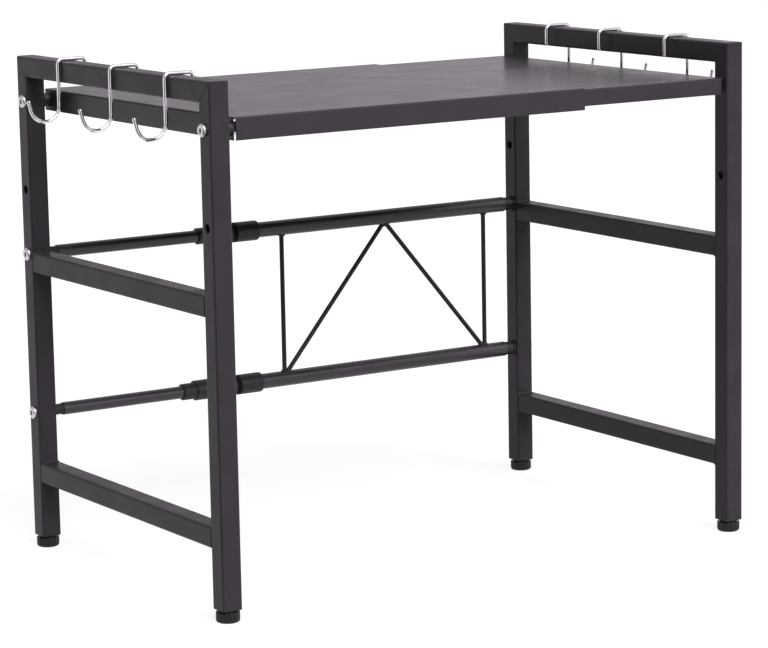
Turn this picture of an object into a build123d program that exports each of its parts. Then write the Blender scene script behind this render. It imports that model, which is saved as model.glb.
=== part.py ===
from build123d import *
import os

# A one-tier steel kitchen shelf that pulls out in width, with hooks on its top rails.
# Frame: X runs left to right, Y front to back, Z up. The origin is on the floor, under the
# middle of the shelf. All sizes are in millimetres.

# Square tube of the two side frames
TUBE = 19.0
TUBE_WALL = 1.2
TUBE_CORNER = 2.0

# Side frames: width over the posts' outer faces as drawn out in the photograph, depth over the
# posts, post length, and the rails' and holes' places along the post
FRAME_WIDTH = 569.0
FRAME_DEPTH = 360.0
POST_LENGTH = 454.0
LOWER_RAIL_RISE = 62.2
MIDDLE_RAIL_RISE = 262.5
SPARE_HOLE_DROP = 124.0
SPARE_HOLE_RADIUS = 4.0

# Deck: two nested sheet panels between the frames, the left one outside and on top
SHEET = 0.8
SHEET_BEND = 1.8
PANEL_GAP = 0.3
DECK_DROP = 31.6
DECK_INSET = 4.3
LEFT_PANEL_LENGTH = 364.5
RIGHT_PANEL_LENGTH = 363.0
LEFT_FLANGE = 19.9
RIGHT_FLANGE = 15.4
LEFT_LIP = 8.0
RIGHT_LIP = 5.0
LIP_SETBACK = 14.0
CORNER_SLIT = 0.8
STANDOFF_LENGTH = 6.5
STANDOFF_RADIUS = 6.3

# Screws and nuts
SCREW_RADIUS = 3.0
SCREW_HOLE_RADIUS = 3.25
HEAD_RADIUS = 6.0
HEAD_HEIGHT = 3.2
HEAD_ROUND = 2.2
SOCKET_FLATS = 4.0
SOCKET_DEPTH = 2.0
NUT_FLATS = 10.0
NUT_HEIGHT = 5.0
THREAD_SPARE = 2.0
DECK_SCREW_IN = 12.0
DECK_SCREW_DROP = 41.5

# Rear rods that telescope, and the plugs that carry their ends
THIN_ROD_RADIUS = 6.0
THIN_ROD_WALL = 1.0
THIN_ROD_LENGTH = 340.0
THICK_ROD_RADIUS = 7.5
THICK_ROD_WALL = 1.2
THICK_ROD_LENGTH = 335.0
UPPER_ROD_RISE = 269.5
LOWER_ROD_RISE = 119.0
PLUG_SHOULDER = 10.5
PLUG_FLANGE = 2.0
PLUG_FLANGE_PROUD = 0.4
PLUG_NECK_INSET = 0.9
PLUG_STEM = 15.0
PLUG_FIT = 0.05
ROD_SCREW_BITE = 20.5

# Plastic sleeves on the thick rods' mouths
SLEEVE_RADIUS = 9.75
SLEEVE_NOSE_RADIUS = 8.0
SLEEVE_NOSE_LENGTH = 14.0
SLEEVE_GRIP = 42.0
UPPER_SLEEVE_REACH = 25.0
LOWER_SLEEVE_REACH = 46.0
SLEEVE_CHAMFER = 1.5
SLEEVE_NOSE_CHAMFER = 0.8
SLEEVE_RUNNING_GAP = 0.08
SLEEVE_GROOVE_BACK = 30.0
SLEEVE_GROOVE_WIDTH = 5.0
SLEEVE_GROOVE_DEPTH = 0.7

# Wire truss between the thick rods
TRUSS_WIRE = 4.5
TRUSS_END_GAP = 34.5
TRUSS_SPAN = 240.3
TRUSS_FOOT_STEP = 4.2

# Levelling feet
PAD_RADIUS = 10.75
PAD_HEIGHT = 9.2
PAD_ROUND = 2.6
PAD_EDGE = 0.6
PAD_FLUTES = 12
FLUTE_RADIUS = 2.0
FLUTE_OUT = 1.3
NECK_SHOWN = 1.8
NECK_RADIUS = 8.0
NECK_HIDDEN = 1.0
STUD_RADIUS = 4.0
STUD_CHAMFER = 0.8
STUD_RUNNING_GAP = 0.05
STUD_SEAT = 4.0
STUD_TOP_RISE = 33.0
INSERT_RECESS = 3.0
INSERT_HEIGHT = 18.0
INSERT_FIT = 0.05

# Wire hooks on the top rails
HOOK_WIRE = 3.5
HOOK_INNER_WIDTH = 24.0
HOOK_REST_GAP = 0.3
HOOK_BEND = 4.0
HOOK_SHORT_LEG = 19.0
HOOK_LONG_LEG = 41.0
HOOK_CURL_RADIUS = 14.4
HOOK_CURL_SWEEP = 165.0
HOOK_TIP = 9.5
HOOK_END_CHAMFER = 0.5
LEFT_HOOK_PLACES = {"front": -108.0, "middle": -9.0, "rear": 91.0}
RIGHT_HOOK_PLACES = {"front": -95.0, "middle": 8.0, "rear": 95.0}

# Places worked out from the sizes above
POST_FOOT_Z = PAD_HEIGHT + NECK_SHOWN
TOP_Z = POST_FOOT_Z + POST_LENGTH
LEFT_FACE_X = -FRAME_WIDTH / 2
POST_X = LEFT_FACE_X + TUBE / 2
INNER_FACE_X = LEFT_FACE_X + TUBE
REAR_FACE_Y = FRAME_DEPTH / 2
POST_Y = REAR_FACE_Y - TUBE / 2
RAIL_LENGTH = FRAME_DEPTH - 2 * TUBE
DECK_TOP_Z = TOP_Z - DECK_DROP
DECK_HALF_DEPTH = REAR_FACE_Y - DECK_INSET
DECK_SCREW_Y = REAR_FACE_Y - DECK_SCREW_IN
DECK_SCREW_Z = TOP_Z - DECK_SCREW_DROP
LEFT_PANEL_X = INNER_FACE_X + STANDOFF_LENGTH
ROD_END_X = INNER_FACE_X + PLUG_SHOULDER
UPPER_ROD_Z = POST_FOOT_Z + UPPER_ROD_RISE
LOWER_ROD_Z = POST_FOOT_Z + LOWER_ROD_RISE
THICK_ROD_MOUTH_X = -ROD_END_X - THICK_ROD_LENGTH
SLEEVE_TAIL_X = THICK_ROD_MOUTH_X + SLEEVE_GRIP
FRONT = -1
REAR = 1

# How a solid lies on its own reference point: standing on it, or running on from it along X
STANDING = (Align.CENTER, Align.CENTER, Align.MIN)
RUNNING = (Align.MIN, Align.CENTER, Align.MIN)
HANGING = (Align.MIN, Align.CENTER, Align.MAX)


def along_x(radius, start, end, y, z):
    """A round bar along X from start to end, centred on y and z."""
    bar = Cylinder(radius, end - start, align=STANDING)
    return Pos(start, y, z) * Rot(0, 90, 0) * bar


def tube_along_x(radius, bore, start, end, y, z):
    """A round tube along X from start to end."""
    return along_x(radius, start, end, y, z) - along_x(bore, start, end, y, z)


def square_tube(length):
    """A length of the frame's square tube, standing on the XY plane."""
    inner = TUBE - 2 * TUBE_WALL
    outline = RectangleRounded(TUBE, TUBE, TUBE_CORNER)
    hollow = RectangleRounded(inner, inner, TUBE_CORNER - TUBE_WALL)
    return extrude(outline - hollow, length)


def mitre_plane(end):
    """The 45 degree plane between a post and the top rail, at the front or the rear."""
    return Plane(origin=(POST_X, end * REAR_FACE_Y, TOP_Z), z_dir=(0, -end, 1))


def cross_hole(radius, y, z):
    """A cutter along X through both walls of a left post."""
    return along_x(radius, LEFT_FACE_X - TUBE, INNER_FACE_X + TUBE, y, z)


def make_post(end):
    """A left post with its mitred top, its screw holes and its spare hole."""
    post = Pos(POST_X, end * POST_Y, POST_FOOT_Z) * square_tube(POST_LENGTH)
    post = split(post, bisect_by=mitre_plane(end), keep=Keep.BOTTOM)
    post -= cross_hole(SCREW_HOLE_RADIUS, end * DECK_SCREW_Y, DECK_SCREW_Z)
    post -= cross_hole(SPARE_HOLE_RADIUS, end * POST_Y, TOP_Z - SPARE_HOLE_DROP)
    if end == REAR:
        post -= cross_hole(SCREW_HOLE_RADIUS, POST_Y, UPPER_ROD_Z)
        post -= cross_hole(SCREW_HOLE_RADIUS, POST_Y, LOWER_ROD_Z)
    return post


def make_rail(length, z):
    """A left rail along Y, centred between the posts."""
    return Pos(POST_X, -length / 2, z) * Rot(-90, 0, 0) * square_tube(length)


def make_top_rail():
    """The left top rail, mitred to both posts."""
    rail = make_rail(FRAME_DEPTH, TOP_Z - TUBE / 2)
    rail = split(rail, bisect_by=mitre_plane(FRONT), keep=Keep.TOP)
    return split(rail, bisect_by=mitre_plane(REAR), keep=Keep.TOP)


def folded_block(start, length, half_depth, top, height, bend):
    """A block whose front, rear and start edges are rounded at the top, as a fold rounds them."""
    block = Pos(start, 0, top) * Box(length, 2 * half_depth, height, align=HANGING)
    upper = block.edges().group_by(Axis.Z)[-1]
    folds = upper.sort_by(Axis.X)[:-1]
    return fillet(folds, bend)


def make_panel(start, length, half_depth, top, flange, lip):
    """A deck panel with a closed end at start: a flat top, three folded flanges and two lips."""
    panel = folded_block(start, length, half_depth, top, flange, SHEET_BEND)
    hollow_half = half_depth - SHEET
    panel -= folded_block(start + SHEET, length, hollow_half, top - SHEET, flange, SHEET_BEND - SHEET)
    bottom = top - flange
    lip_length = length - LIP_SETBACK
    for end in (FRONT, REAR):
        strip = Box(lip_length, lip, SHEET, align=RUNNING)
        panel += Pos(start + LIP_SETBACK, end * (hollow_half - lip / 2), bottom) * strip
        slit = Box(SHEET + CORNER_SLIT, CORNER_SLIT, flange - SHEET_BEND, align=RUNNING)
        panel -= Pos(start, end * (hollow_half - CORNER_SLIT / 2), bottom) * slit
        screw_y = end * DECK_SCREW_Y
        panel -= along_x(SCREW_HOLE_RADIUS, start - SHEET, start + 2 * SHEET, screw_y, DECK_SCREW_Z)
    return panel


def make_screw(reach, y, z):
    """A round-headed socket screw through the left face, whose shank is as long as reach."""
    head = Cylinder(HEAD_RADIUS, HEAD_HEIGHT, align=(Align.CENTER, Align.CENTER, Align.MAX))
    head = fillet(head.edges().sort_by(Axis.Z)[0], HEAD_ROUND)
    socket = extrude(RegularPolygon(SOCKET_FLATS / 2, 6, major_radius=False), SOCKET_DEPTH)
    head -= Pos(0, 0, -HEAD_HEIGHT) * socket
    shank = Cylinder(SCREW_RADIUS, reach, align=STANDING)
    return Pos(LEFT_FACE_X, y, z) * Rot(0, 90, 0) * (head + shank)


def make_nuts(seat_x):
    """The front and rear hexagon nuts on a left-hand end flange whose inner side is at seat_x."""
    nut = extrude(RegularPolygon(NUT_FLATS / 2, 6, major_radius=False), NUT_HEIGHT)
    nut -= Cylinder(SCREW_RADIUS, 3 * NUT_HEIGHT)
    return [Pos(seat_x, end * DECK_SCREW_Y, DECK_SCREW_Z) * Rot(0, 90, 0) * nut for end in (FRONT, REAR)]


def make_plug(rod_radius, rod_wall, z):
    """The plug between the left rear post and a rod, with its flange, neck and stem."""
    flange_end = INNER_FACE_X + PLUG_FLANGE
    stem_radius = rod_radius - rod_wall - PLUG_FIT
    plug = along_x(rod_radius + PLUG_FLANGE_PROUD, INNER_FACE_X, flange_end, POST_Y, z)
    plug += along_x(rod_radius - PLUG_NECK_INSET, INNER_FACE_X, ROD_END_X, POST_Y, z)
    plug += along_x(stem_radius, INNER_FACE_X, ROD_END_X + PLUG_STEM, POST_Y, z)
    return plug - along_x(SCREW_RADIUS, INNER_FACE_X, ROD_END_X + PLUG_STEM, POST_Y, z)


def make_thin_rod(z):
    """A thin rod from its plug at the left post into the thick rod."""
    bore = THIN_ROD_RADIUS - THIN_ROD_WALL
    return tube_along_x(THIN_ROD_RADIUS, bore, ROD_END_X, ROD_END_X + THIN_ROD_LENGTH, POST_Y, z)


def make_thick_rod(z):
    """A thick rod from its mouth to its plug at the right post."""
    bore = THICK_ROD_RADIUS - THICK_ROD_WALL
    return tube_along_x(THICK_ROD_RADIUS, bore, THICK_ROD_MOUTH_X, -ROD_END_X, POST_Y, z)


def make_sleeve(reach, z):
    """The stepped sleeve on a thick rod's mouth, reaching past it over the thin rod."""
    nose = THICK_ROD_MOUTH_X - reach
    step = nose + SLEEVE_NOSE_LENGTH
    barrel = along_x(SLEEVE_RADIUS, step, SLEEVE_TAIL_X, POST_Y, z)
    barrel = chamfer(barrel.edges().sort_by(Axis.X)[-1], SLEEVE_CHAMFER)
    collar = along_x(SLEEVE_NOSE_RADIUS, nose, THICK_ROD_MOUTH_X, POST_Y, z)
    collar = chamfer(collar.edges().sort_by(Axis.X)[0], SLEEVE_NOSE_CHAMFER)
    groove_x = SLEEVE_TAIL_X - SLEEVE_GROOVE_BACK
    groove = tube_along_x(SLEEVE_RADIUS + SLEEVE_GROOVE_DEPTH, SLEEVE_RADIUS - SLEEVE_GROOVE_DEPTH,
                          groove_x, groove_x + SLEEVE_GROOVE_WIDTH, POST_Y, z)
    sleeve = barrel + collar - groove
    sleeve -= along_x(THIN_ROD_RADIUS + SLEEVE_RUNNING_GAP, nose, THICK_ROD_MOUTH_X, POST_Y, z)
    return sleeve - along_x(THICK_ROD_RADIUS, THICK_ROD_MOUTH_X, SLEEVE_TAIL_X, POST_Y, z)


def wire_between(start, end, diameter):
    """A straight wire between two points."""
    run = Line(start, end)
    return sweep(Plane(origin=run @ 0, z_dir=run % 0) * Circle(diameter / 2), path=run)


def biggest_solid(shape):
    """The main body of a cut shape, without its offcuts."""
    return shape.solids().sort_by(SortBy.VOLUME)[-1]


def make_truss():
    """The wires welded between the thick rods: two uprights and two leaning wires."""
    right_x = -ROD_END_X - TRUSS_END_GAP + PLUG_SHOULDER
    left_x = right_x - TRUSS_SPAN
    apex_x = (left_x + right_x) / 2
    rods = along_x(THICK_ROD_RADIUS, THICK_ROD_MOUTH_X, -ROD_END_X, POST_Y, UPPER_ROD_Z)
    rods += along_x(THICK_ROD_RADIUS, THICK_ROD_MOUTH_X, -ROD_END_X, POST_Y, LOWER_ROD_Z)
    foot_z = LOWER_ROD_Z + THICK_ROD_RADIUS
    apex_z = UPPER_ROD_Z - THICK_ROD_RADIUS
    wires = {}
    for name, x, step in (("left", left_x, 1), ("right", right_x, -1)):
        upright = wire_between((x, POST_Y, LOWER_ROD_Z), (x, POST_Y, UPPER_ROD_Z), TRUSS_WIRE)
        foot = Vector(x + step * TRUSS_FOOT_STEP, POST_Y, foot_z)
        apex = Vector(apex_x, POST_Y, apex_z)
        spare = (apex - foot).normalized() * 2 * TRUSS_WIRE
        leaning = wire_between(foot - spare, apex + spare, TRUSS_WIRE)
        half = Pos(apex_x, 0, 0) * Box(TRUSS_SPAN, FRAME_DEPTH, 2 * TOP_Z,
                                       align=(Align.MAX if step > 0 else Align.MIN, Align.MIN, Align.CENTER))
        wires[f"truss_{name}_upright"] = biggest_solid(upright - rods)
        wires[f"truss_{name}_brace"] = biggest_solid((leaning & half) - rods - upright)
    return wires


def make_insert(end):
    """The threaded plastic plug in a left post's lower end."""
    side = TUBE - 2 * TUBE_WALL - 2 * INSERT_FIT
    insert = extrude(RectangleRounded(side, side, TUBE_CORNER - TUBE_WALL), INSERT_HEIGHT)
    insert -= Cylinder(STUD_RADIUS + STUD_RUNNING_GAP, 3 * INSERT_HEIGHT)
    return Pos(POST_X, end * POST_Y, POST_FOOT_Z + INSERT_RECESS) * insert


def make_stud(end):
    """A left foot's steel stud, from its seat in the pad up through the insert."""
    top = POST_FOOT_Z + STUD_TOP_RISE
    stud = Cylinder(STUD_RADIUS, top - STUD_SEAT, align=STANDING)
    stud = chamfer(stud.edges().sort_by(Axis.Z)[-1], STUD_CHAMFER)
    return Pos(POST_X, end * POST_Y, STUD_SEAT) * stud


def make_pad(end):
    """A left foot's fluted pad and the neck above it, bored for the stud."""
    pad = Cylinder(PAD_RADIUS, PAD_HEIGHT, align=STANDING)
    pad = fillet(pad.edges().sort_by(Axis.Z)[0], PAD_ROUND)
    pad = chamfer(pad.edges().sort_by(Axis.Z)[-1], PAD_EDGE)
    for flute in PolarLocations(PAD_RADIUS + FLUTE_OUT, PAD_FLUTES):
        pad -= flute * Cylinder(FLUTE_RADIUS, 3 * PAD_HEIGHT)
    neck_height = NECK_SHOWN + NECK_HIDDEN
    pad += Pos(0, 0, PAD_HEIGHT) * Cylinder(NECK_RADIUS, neck_height, align=STANDING)
    seat = Cylinder(STUD_RADIUS + STUD_RUNNING_GAP, PAD_HEIGHT + neck_height, align=STANDING)
    return Pos(POST_X, end * POST_Y, 0) * (pad - Pos(0, 0, STUD_SEAT) * seat)


def make_hook():
    """A bent wire hook over the right top rail, in the plane of Y = 0."""
    half_wire = HOOK_WIRE / 2
    outer_x = -LEFT_FACE_X + HOOK_REST_GAP + half_wire
    inner_x = outer_x - HOOK_INNER_WIDTH - HOOK_WIRE
    top_z = TOP_Z + HOOK_REST_GAP + half_wire
    curl_z = top_z - HOOK_LONG_LEG
    with BuildLine(Plane.XZ) as route:
        corners = ((inner_x, top_z - HOOK_SHORT_LEG), (inner_x, top_z), (outer_x, top_z), (outer_x, curl_z))
        FilletPolyline(*corners, radius=HOOK_BEND)
        curl = CenterArc((outer_x + HOOK_CURL_RADIUS, curl_z), HOOK_CURL_RADIUS, 180, HOOK_CURL_SWEEP)
        Line(curl @ 1, curl @ 1 + (curl % 1) * HOOK_TIP)
    line = route.wire()
    hook = sweep(Plane(origin=line @ 0, z_dir=line % 0) * Circle(half_wire), path=line)
    tips = hook.faces().filter_by(GeomType.PLANE).edges()
    return chamfer(tips, HOOK_END_CHAMFER)


def mirrored(shape):
    """The same shape on the other side of the shelf's middle."""
    return mirror(shape, about=Plane.YZ)


def make_frames():
    """Both side frames: posts, rails and the inserts in the posts' feet."""
    pieces = {
        "front_post": make_post(FRONT),
        "rear_post": make_post(REAR),
        "top_rail": make_top_rail(),
        "middle_rail": make_rail(RAIL_LENGTH, POST_FOOT_Z + MIDDLE_RAIL_RISE),
        "lower_rail": make_rail(RAIL_LENGTH, POST_FOOT_Z + LOWER_RAIL_RISE),
        "foot_inserts": Compound(children=[make_insert(FRONT), make_insert(REAR)]),
    }
    left = {f"left_{name}": piece for name, piece in pieces.items()}
    right = {f"right_{name}": mirrored(piece) for name, piece in pieces.items()}
    return left | right


def make_deck():
    """Both deck panels with their standoffs, nuts and screws."""
    left_panel = make_panel(LEFT_PANEL_X, LEFT_PANEL_LENGTH, DECK_HALF_DEPTH, DECK_TOP_Z,
                            LEFT_FLANGE, LEFT_LIP)
    step = SHEET + PANEL_GAP
    right_panel = make_panel(INNER_FACE_X, RIGHT_PANEL_LENGTH, DECK_HALF_DEPTH - step, DECK_TOP_Z - step,
                             RIGHT_FLANGE, RIGHT_LIP)
    grip = TUBE + SHEET + NUT_HEIGHT + THREAD_SPARE
    standoffs = []
    left_screws = []
    right_screws = []
    for end in (FRONT, REAR):
        y = end * DECK_SCREW_Y
        standoffs.append(tube_along_x(STANDOFF_RADIUS, SCREW_HOLE_RADIUS,
                                      INNER_FACE_X, LEFT_PANEL_X, y, DECK_SCREW_Z))
        left_screws.append(make_screw(grip + STANDOFF_LENGTH, y, DECK_SCREW_Z))
        right_screws.append(mirrored(make_screw(grip, y, DECK_SCREW_Z)))
    return {
        "left_deck_panel": left_panel,
        "right_deck_panel": mirrored(right_panel),
        "left_deck_standoffs": Compound(children=standoffs),
        "left_deck_nuts": Compound(children=make_nuts(LEFT_PANEL_X + SHEET)),
        "right_deck_nuts": Compound(children=[mirrored(nut) for nut in make_nuts(INNER_FACE_X + SHEET)]),
        "left_deck_screws": Compound(children=left_screws),
        "right_deck_screws": Compound(children=right_screws),
    }


def make_rods():
    """The telescoping rods, their sleeves, plugs and screws, and the truss."""
    heights = (UPPER_ROD_Z, LOWER_ROD_Z)
    thin_plugs = [make_plug(THIN_ROD_RADIUS, THIN_ROD_WALL, z) for z in heights]
    thick_plugs = [mirrored(make_plug(THICK_ROD_RADIUS, THICK_ROD_WALL, z)) for z in heights]
    screws = [make_screw(TUBE + ROD_SCREW_BITE, POST_Y, z) for z in heights]
    pieces = {
        "upper_thin_rod": make_thin_rod(UPPER_ROD_Z),
        "lower_thin_rod": make_thin_rod(LOWER_ROD_Z),
        "upper_thick_rod": make_thick_rod(UPPER_ROD_Z),
        "lower_thick_rod": make_thick_rod(LOWER_ROD_Z),
        "upper_rod_sleeve": make_sleeve(UPPER_SLEEVE_REACH, UPPER_ROD_Z),
        "lower_rod_sleeve": make_sleeve(LOWER_SLEEVE_REACH, LOWER_ROD_Z),
        "thin_rod_plugs": Compound(children=thin_plugs),
        "thick_rod_plugs": Compound(children=thick_plugs),
        "left_rod_screws": Compound(children=screws),
        "right_rod_screws": Compound(children=[mirrored(screw) for screw in screws]),
    }
    return pieces | make_truss()


def make_feet():
    """The four levelling feet, each a stud and a pad."""
    pieces = {}
    for place, end in (("front", FRONT), ("rear", REAR)):
        stud = make_stud(end)
        pad = make_pad(end)
        pieces[f"{place}_left_foot_stud"] = stud
        pieces[f"{place}_left_foot_pad"] = pad
        pieces[f"{place}_right_foot_stud"] = mirrored(stud)
        pieces[f"{place}_right_foot_pad"] = mirrored(pad)
    return pieces


def make_hooks():
    """Three hooks on each top rail."""
    right_hook = make_hook()
    left_hook = mirrored(right_hook)
    pieces = {}
    for place, y in LEFT_HOOK_PLACES.items():
        pieces[f"left_{place}_hook"] = Pos(0, y, 0) * left_hook
    for place, y in RIGHT_HOOK_PLACES.items():
        pieces[f"right_{place}_hook"] = Pos(0, y, 0) * right_hook
    return pieces


os.makedirs("parts", exist_ok=True)
shelf = make_frames() | make_deck() | make_rods() | make_feet() | make_hooks()
for name, piece in shelf.items():
    export_step(piece, f"parts/{name}.step")
print(len(shelf), "nodes written")
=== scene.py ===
"""A microwave shelf that draws out in width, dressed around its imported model.

Units are metres. X runs to the right, Y to the back and Z up, from the floor under the middle of
the shelf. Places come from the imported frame, and sizes that the frame doesn't tell are fields of
the classes. Each class builds one sub-assembly, and main builds them in order.
"""
import logging
import math
from dataclasses import dataclass
from enum import Enum
from typing import Sequence

import bmesh
import bpy
import numpy as np
from mathutils import Matrix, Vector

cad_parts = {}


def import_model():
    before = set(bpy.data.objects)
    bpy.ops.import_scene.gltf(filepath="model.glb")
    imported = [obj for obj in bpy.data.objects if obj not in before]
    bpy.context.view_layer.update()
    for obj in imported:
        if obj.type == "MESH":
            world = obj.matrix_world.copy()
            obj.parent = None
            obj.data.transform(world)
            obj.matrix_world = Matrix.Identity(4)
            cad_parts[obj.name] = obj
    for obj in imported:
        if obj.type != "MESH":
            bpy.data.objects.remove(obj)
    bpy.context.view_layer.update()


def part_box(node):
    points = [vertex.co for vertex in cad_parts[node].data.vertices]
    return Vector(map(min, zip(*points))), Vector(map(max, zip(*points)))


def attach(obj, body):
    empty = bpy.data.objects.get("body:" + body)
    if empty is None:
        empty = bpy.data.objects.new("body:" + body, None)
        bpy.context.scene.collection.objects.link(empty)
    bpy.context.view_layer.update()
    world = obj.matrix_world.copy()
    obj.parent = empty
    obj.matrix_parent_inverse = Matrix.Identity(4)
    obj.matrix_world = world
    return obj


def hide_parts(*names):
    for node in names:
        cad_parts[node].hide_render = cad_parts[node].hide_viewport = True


Array = np.ndarray
Colour = tuple[float, float, float]
Span = tuple[float, float]
Node = bpy.types.Node
Socket = bpy.types.NodeSocket

MM = 0.001
MERGE_DISTANCE = 1e-6
SHARP_ANGLE = math.radians(35)
ROUND_STEPS = 48
WIRE_STEPS = 20
FOLD_STEPS = 6
TO_REAR = np.array([0.0, 1.0, 0.0])
BLACK: Colour = (0.0, 0.0, 0.0)
WHITE: Colour = (1.0, 1.0, 1.0)

log = logging.getLogger("shelf")


class Way(Enum):
    """A way out from the shelf's middle, whose value is its sign."""

    @property
    def word(self) -> str:
        """The way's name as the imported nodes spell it."""
        return self.name.lower()


class Side(Way):
    """A side of the shelf, with its sign along X."""

    LEFT = -1
    RIGHT = 1

    @property
    def body(self) -> str:
        """The body that this side's fixed pieces ride on."""
        return f"{self.word}_half"


class End(Way):
    """The front or the rear of the shelf, with its sign along Y."""

    FRONT = -1
    REAR = 1


class Axis(Enum):
    """An axis, with its place in a point."""

    X = 0
    Y = 1
    Z = 2


class Finish(Enum):
    """The shelf's finishes."""

    FRAME_COAT = ("frame_coating", "frame_coat_look")
    # The rods' coat is the frame coat, made glossier and a little lighter. The lighter colour is painted
    # light that brightens rods sitting in the deck's shade.
    ROD_COAT = ("frame_coating", "rod_coat_look")
    DECK_COAT = ("deck_coating", "deck_coat_look")
    CHROME = ("hook_chrome", "chrome_look")
    ZINC = ("zinc_plate", "zinc_look")
    MATTE_PLASTIC = ("black_plastic", "matte_plastic_look")
    GLOSS_PLASTIC = ("foot_plastic", "gloss_plastic_look")
    # A near-black finish laid in the sleeves' grooves, so that they read darker than the sleeves.
    RUBBER = ("black_plastic", "rubber_look")

    def __init__(self, slot: str, look: str) -> None:
        """Names the finish's material slot and its own material."""
        self.slot = slot
        self.look = look


@dataclass(frozen=True)
class Extent:
    """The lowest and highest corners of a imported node."""

    low: Array
    high: Array

    @classmethod
    def of(cls, node: str) -> "Extent":
        """Reads a node's corners at rest from the frame."""
        low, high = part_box(node)
        return cls(np.array(low), np.array(high))

    @property
    def centre(self) -> Array:
        """The middle of the box."""
        return (self.low + self.high) / 2

    @property
    def size(self) -> Array:
        """The box's length along each axis."""
        return self.high - self.low

    @property
    def ends(self) -> Span:
        """Where the box starts and ends along X."""
        return self.low[0], self.high[0]

    @property
    def radius(self) -> float:
        """The radius of a round piece that lies along X."""
        return self.size[2] / 2


def add_object(name: str, data: bpy.types.ID) -> bpy.types.Object:
    """Adds an object to the scene.

    Args:
        name: The object's name.
        data: Its mesh, light or camera.

    Returns:
        The new object.
    """
    added = bpy.data.objects.new(name, data)
    bpy.context.collection.objects.link(added)
    return added


# Shapes

def unit(vectors: Array) -> Array:
    """Scales each vector in the last axis to a length of one."""
    return vectors / np.linalg.norm(vectors, axis=-1, keepdims=True)


def full_turn(steps: int) -> Array:
    """Angles that go once round a circle in even steps."""
    return np.linspace(0, 2 * math.pi, steps, endpoint=False)


def from_nearest(marks: int, steps: int) -> Array:
    """A full turn's angles, each measured from the nearest of evenly spaced marks."""
    share = 2 * math.pi / marks
    return (full_turn(steps) + share / 2) % share - share / 2


def arc(centre: Sequence[float], radius: float, start: float, finish: float, steps: int) -> Array:
    """Points of a circular arc in a plane, from the start angle to the finish angle."""
    angle = np.linspace(start, finish, steps + 1)
    return np.column_stack([centre[0] + radius * np.cos(angle), centre[1] + radius * np.sin(angle)])


def round_corners(corners: Array, radius: float | Array, steps: int = FOLD_STEPS,
                  closed: bool = False) -> Array:
    """Replaces the corners of a line by circular arcs.

    Each arc is the rational quadratic curve through the two tangent points a and b and the corner
    c: (a(1-t)^2 + 2wct(1-t) + bt^2) / ((1-t)^2 + 2wt(1-t) + t^2), where w is the cosine of half
    the turn. An arc shrinks where a neighbouring run is shorter than its tangents.

    Args:
        corners: The line's corners, one in each row.
        radius: One radius, or one for each corner.
        steps: How many pieces each arc has.
        closed: Whether the line comes back to its first corner.

    Returns:
        The rounded line's points, without repeated ones.
    """
    back = np.roll(corners, 1, axis=0) - corners
    ahead = np.roll(corners, -1, axis=0) - corners
    shorter = np.minimum(np.linalg.norm(back, axis=1), np.linalg.norm(ahead, axis=1))
    back, ahead = unit(back), unit(ahead)
    half_turn = (math.pi - np.arccos(np.clip(np.sum(back * ahead, axis=1), -1, 1))) / 2
    cut = np.minimum(radius * np.tan(half_turn), shorter / 2)[:, None]
    start, finish = (corners + back * cut)[:, None], (corners + ahead * cut)[:, None]
    t = np.linspace(0, 1, steps + 1)[None, :, None]
    pull = 2 * np.cos(half_turn)[:, None, None] * t * (1 - t)
    blend = (1 - t) ** 2 + pull + t ** 2
    arcs = (start * (1 - t) ** 2 + corners[:, None] * pull + finish * t ** 2) / blend
    line = (arcs if closed else arcs[1:-1]).reshape(-1, corners.shape[1])
    if not closed:
        line = np.concatenate([corners[:1], line, corners[-1:]])
    moved = np.linalg.norm(np.diff(line, axis=0), axis=1) > MERGE_DISTANCE
    return line[np.concatenate([[True], moved])]


def spread(line: Array, pitch: float) -> Array:
    """Spaces points evenly along a line by linear interpolation on its length.

    Args:
        line: The line's points, one in each row.
        pitch: About how far apart the new points are.

    Returns:
        The new points, which keep the line's ends.
    """
    travelled = np.concatenate([[0], np.cumsum(np.linalg.norm(np.diff(line, axis=0), axis=1))])
    stations = np.linspace(0, travelled[-1], max(2, round(travelled[-1] / pitch) + 1))
    return np.column_stack([np.interp(stations, travelled, column) for column in line.T])


def turn(along: Array, radius: Array, centre: Array, axis: Axis = Axis.X, steps: int = ROUND_STEPS) -> Array:
    """Turns a profile about an axis.

    Point (i, j) is the centre, with along_i as its coordinate on the axis, plus radius_ij times
    the cosine and the sine of angle j on the two other axes in their order.

    Args:
        along: Each row's place on the axis.
        radius: Each row's radius, or a radius for each row and angle.
        centre: A point on the axis.
        axis: The axis that the profile turns about.
        steps: How many angles make a full turn.

    Returns:
        A grid of points, rows by steps by 3.
    """
    first, second = (k for k in range(3) if k != axis.value)
    radius = np.reshape(radius, (len(along), -1))
    angle = full_turn(steps)
    points = np.empty((len(along), steps, 3))
    points[..., axis.value] = np.reshape(along, (-1, 1))
    points[..., first] = centre[first] + radius * np.cos(angle)
    points[..., second] = centre[second] + radius * np.sin(angle)
    return points


def carry_circle(path: Array, radius: float | Array, steps: int = WIRE_STEPS) -> Array:
    """Carries a circle along a path that lies in a plane square to Y.

    Ring i is path_i + radius_i (cos(a) rear + sin(a) (tangent_i x rear)), where rear is the unit
    vector along Y and the tangent is the normalised central difference of the path.

    Args:
        path: The points that the circle's centre follows.
        radius: One radius, or one for each point or each point and angle.
        steps: How many points each ring has.

    Returns:
        A grid of points, one ring in each row.
    """
    up = np.cross(unit(np.gradient(path, axis=0)), TO_REAR)
    radius = np.asarray(radius, dtype=float)
    radius = radius.reshape(-1, 1) if radius.ndim < 2 else radius
    angle = full_turn(steps)
    across = (radius * np.cos(angle))[..., None] * TO_REAR
    over = (radius * np.sin(angle))[..., None] * up[:, None]
    return path[:, None] + across + over


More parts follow.
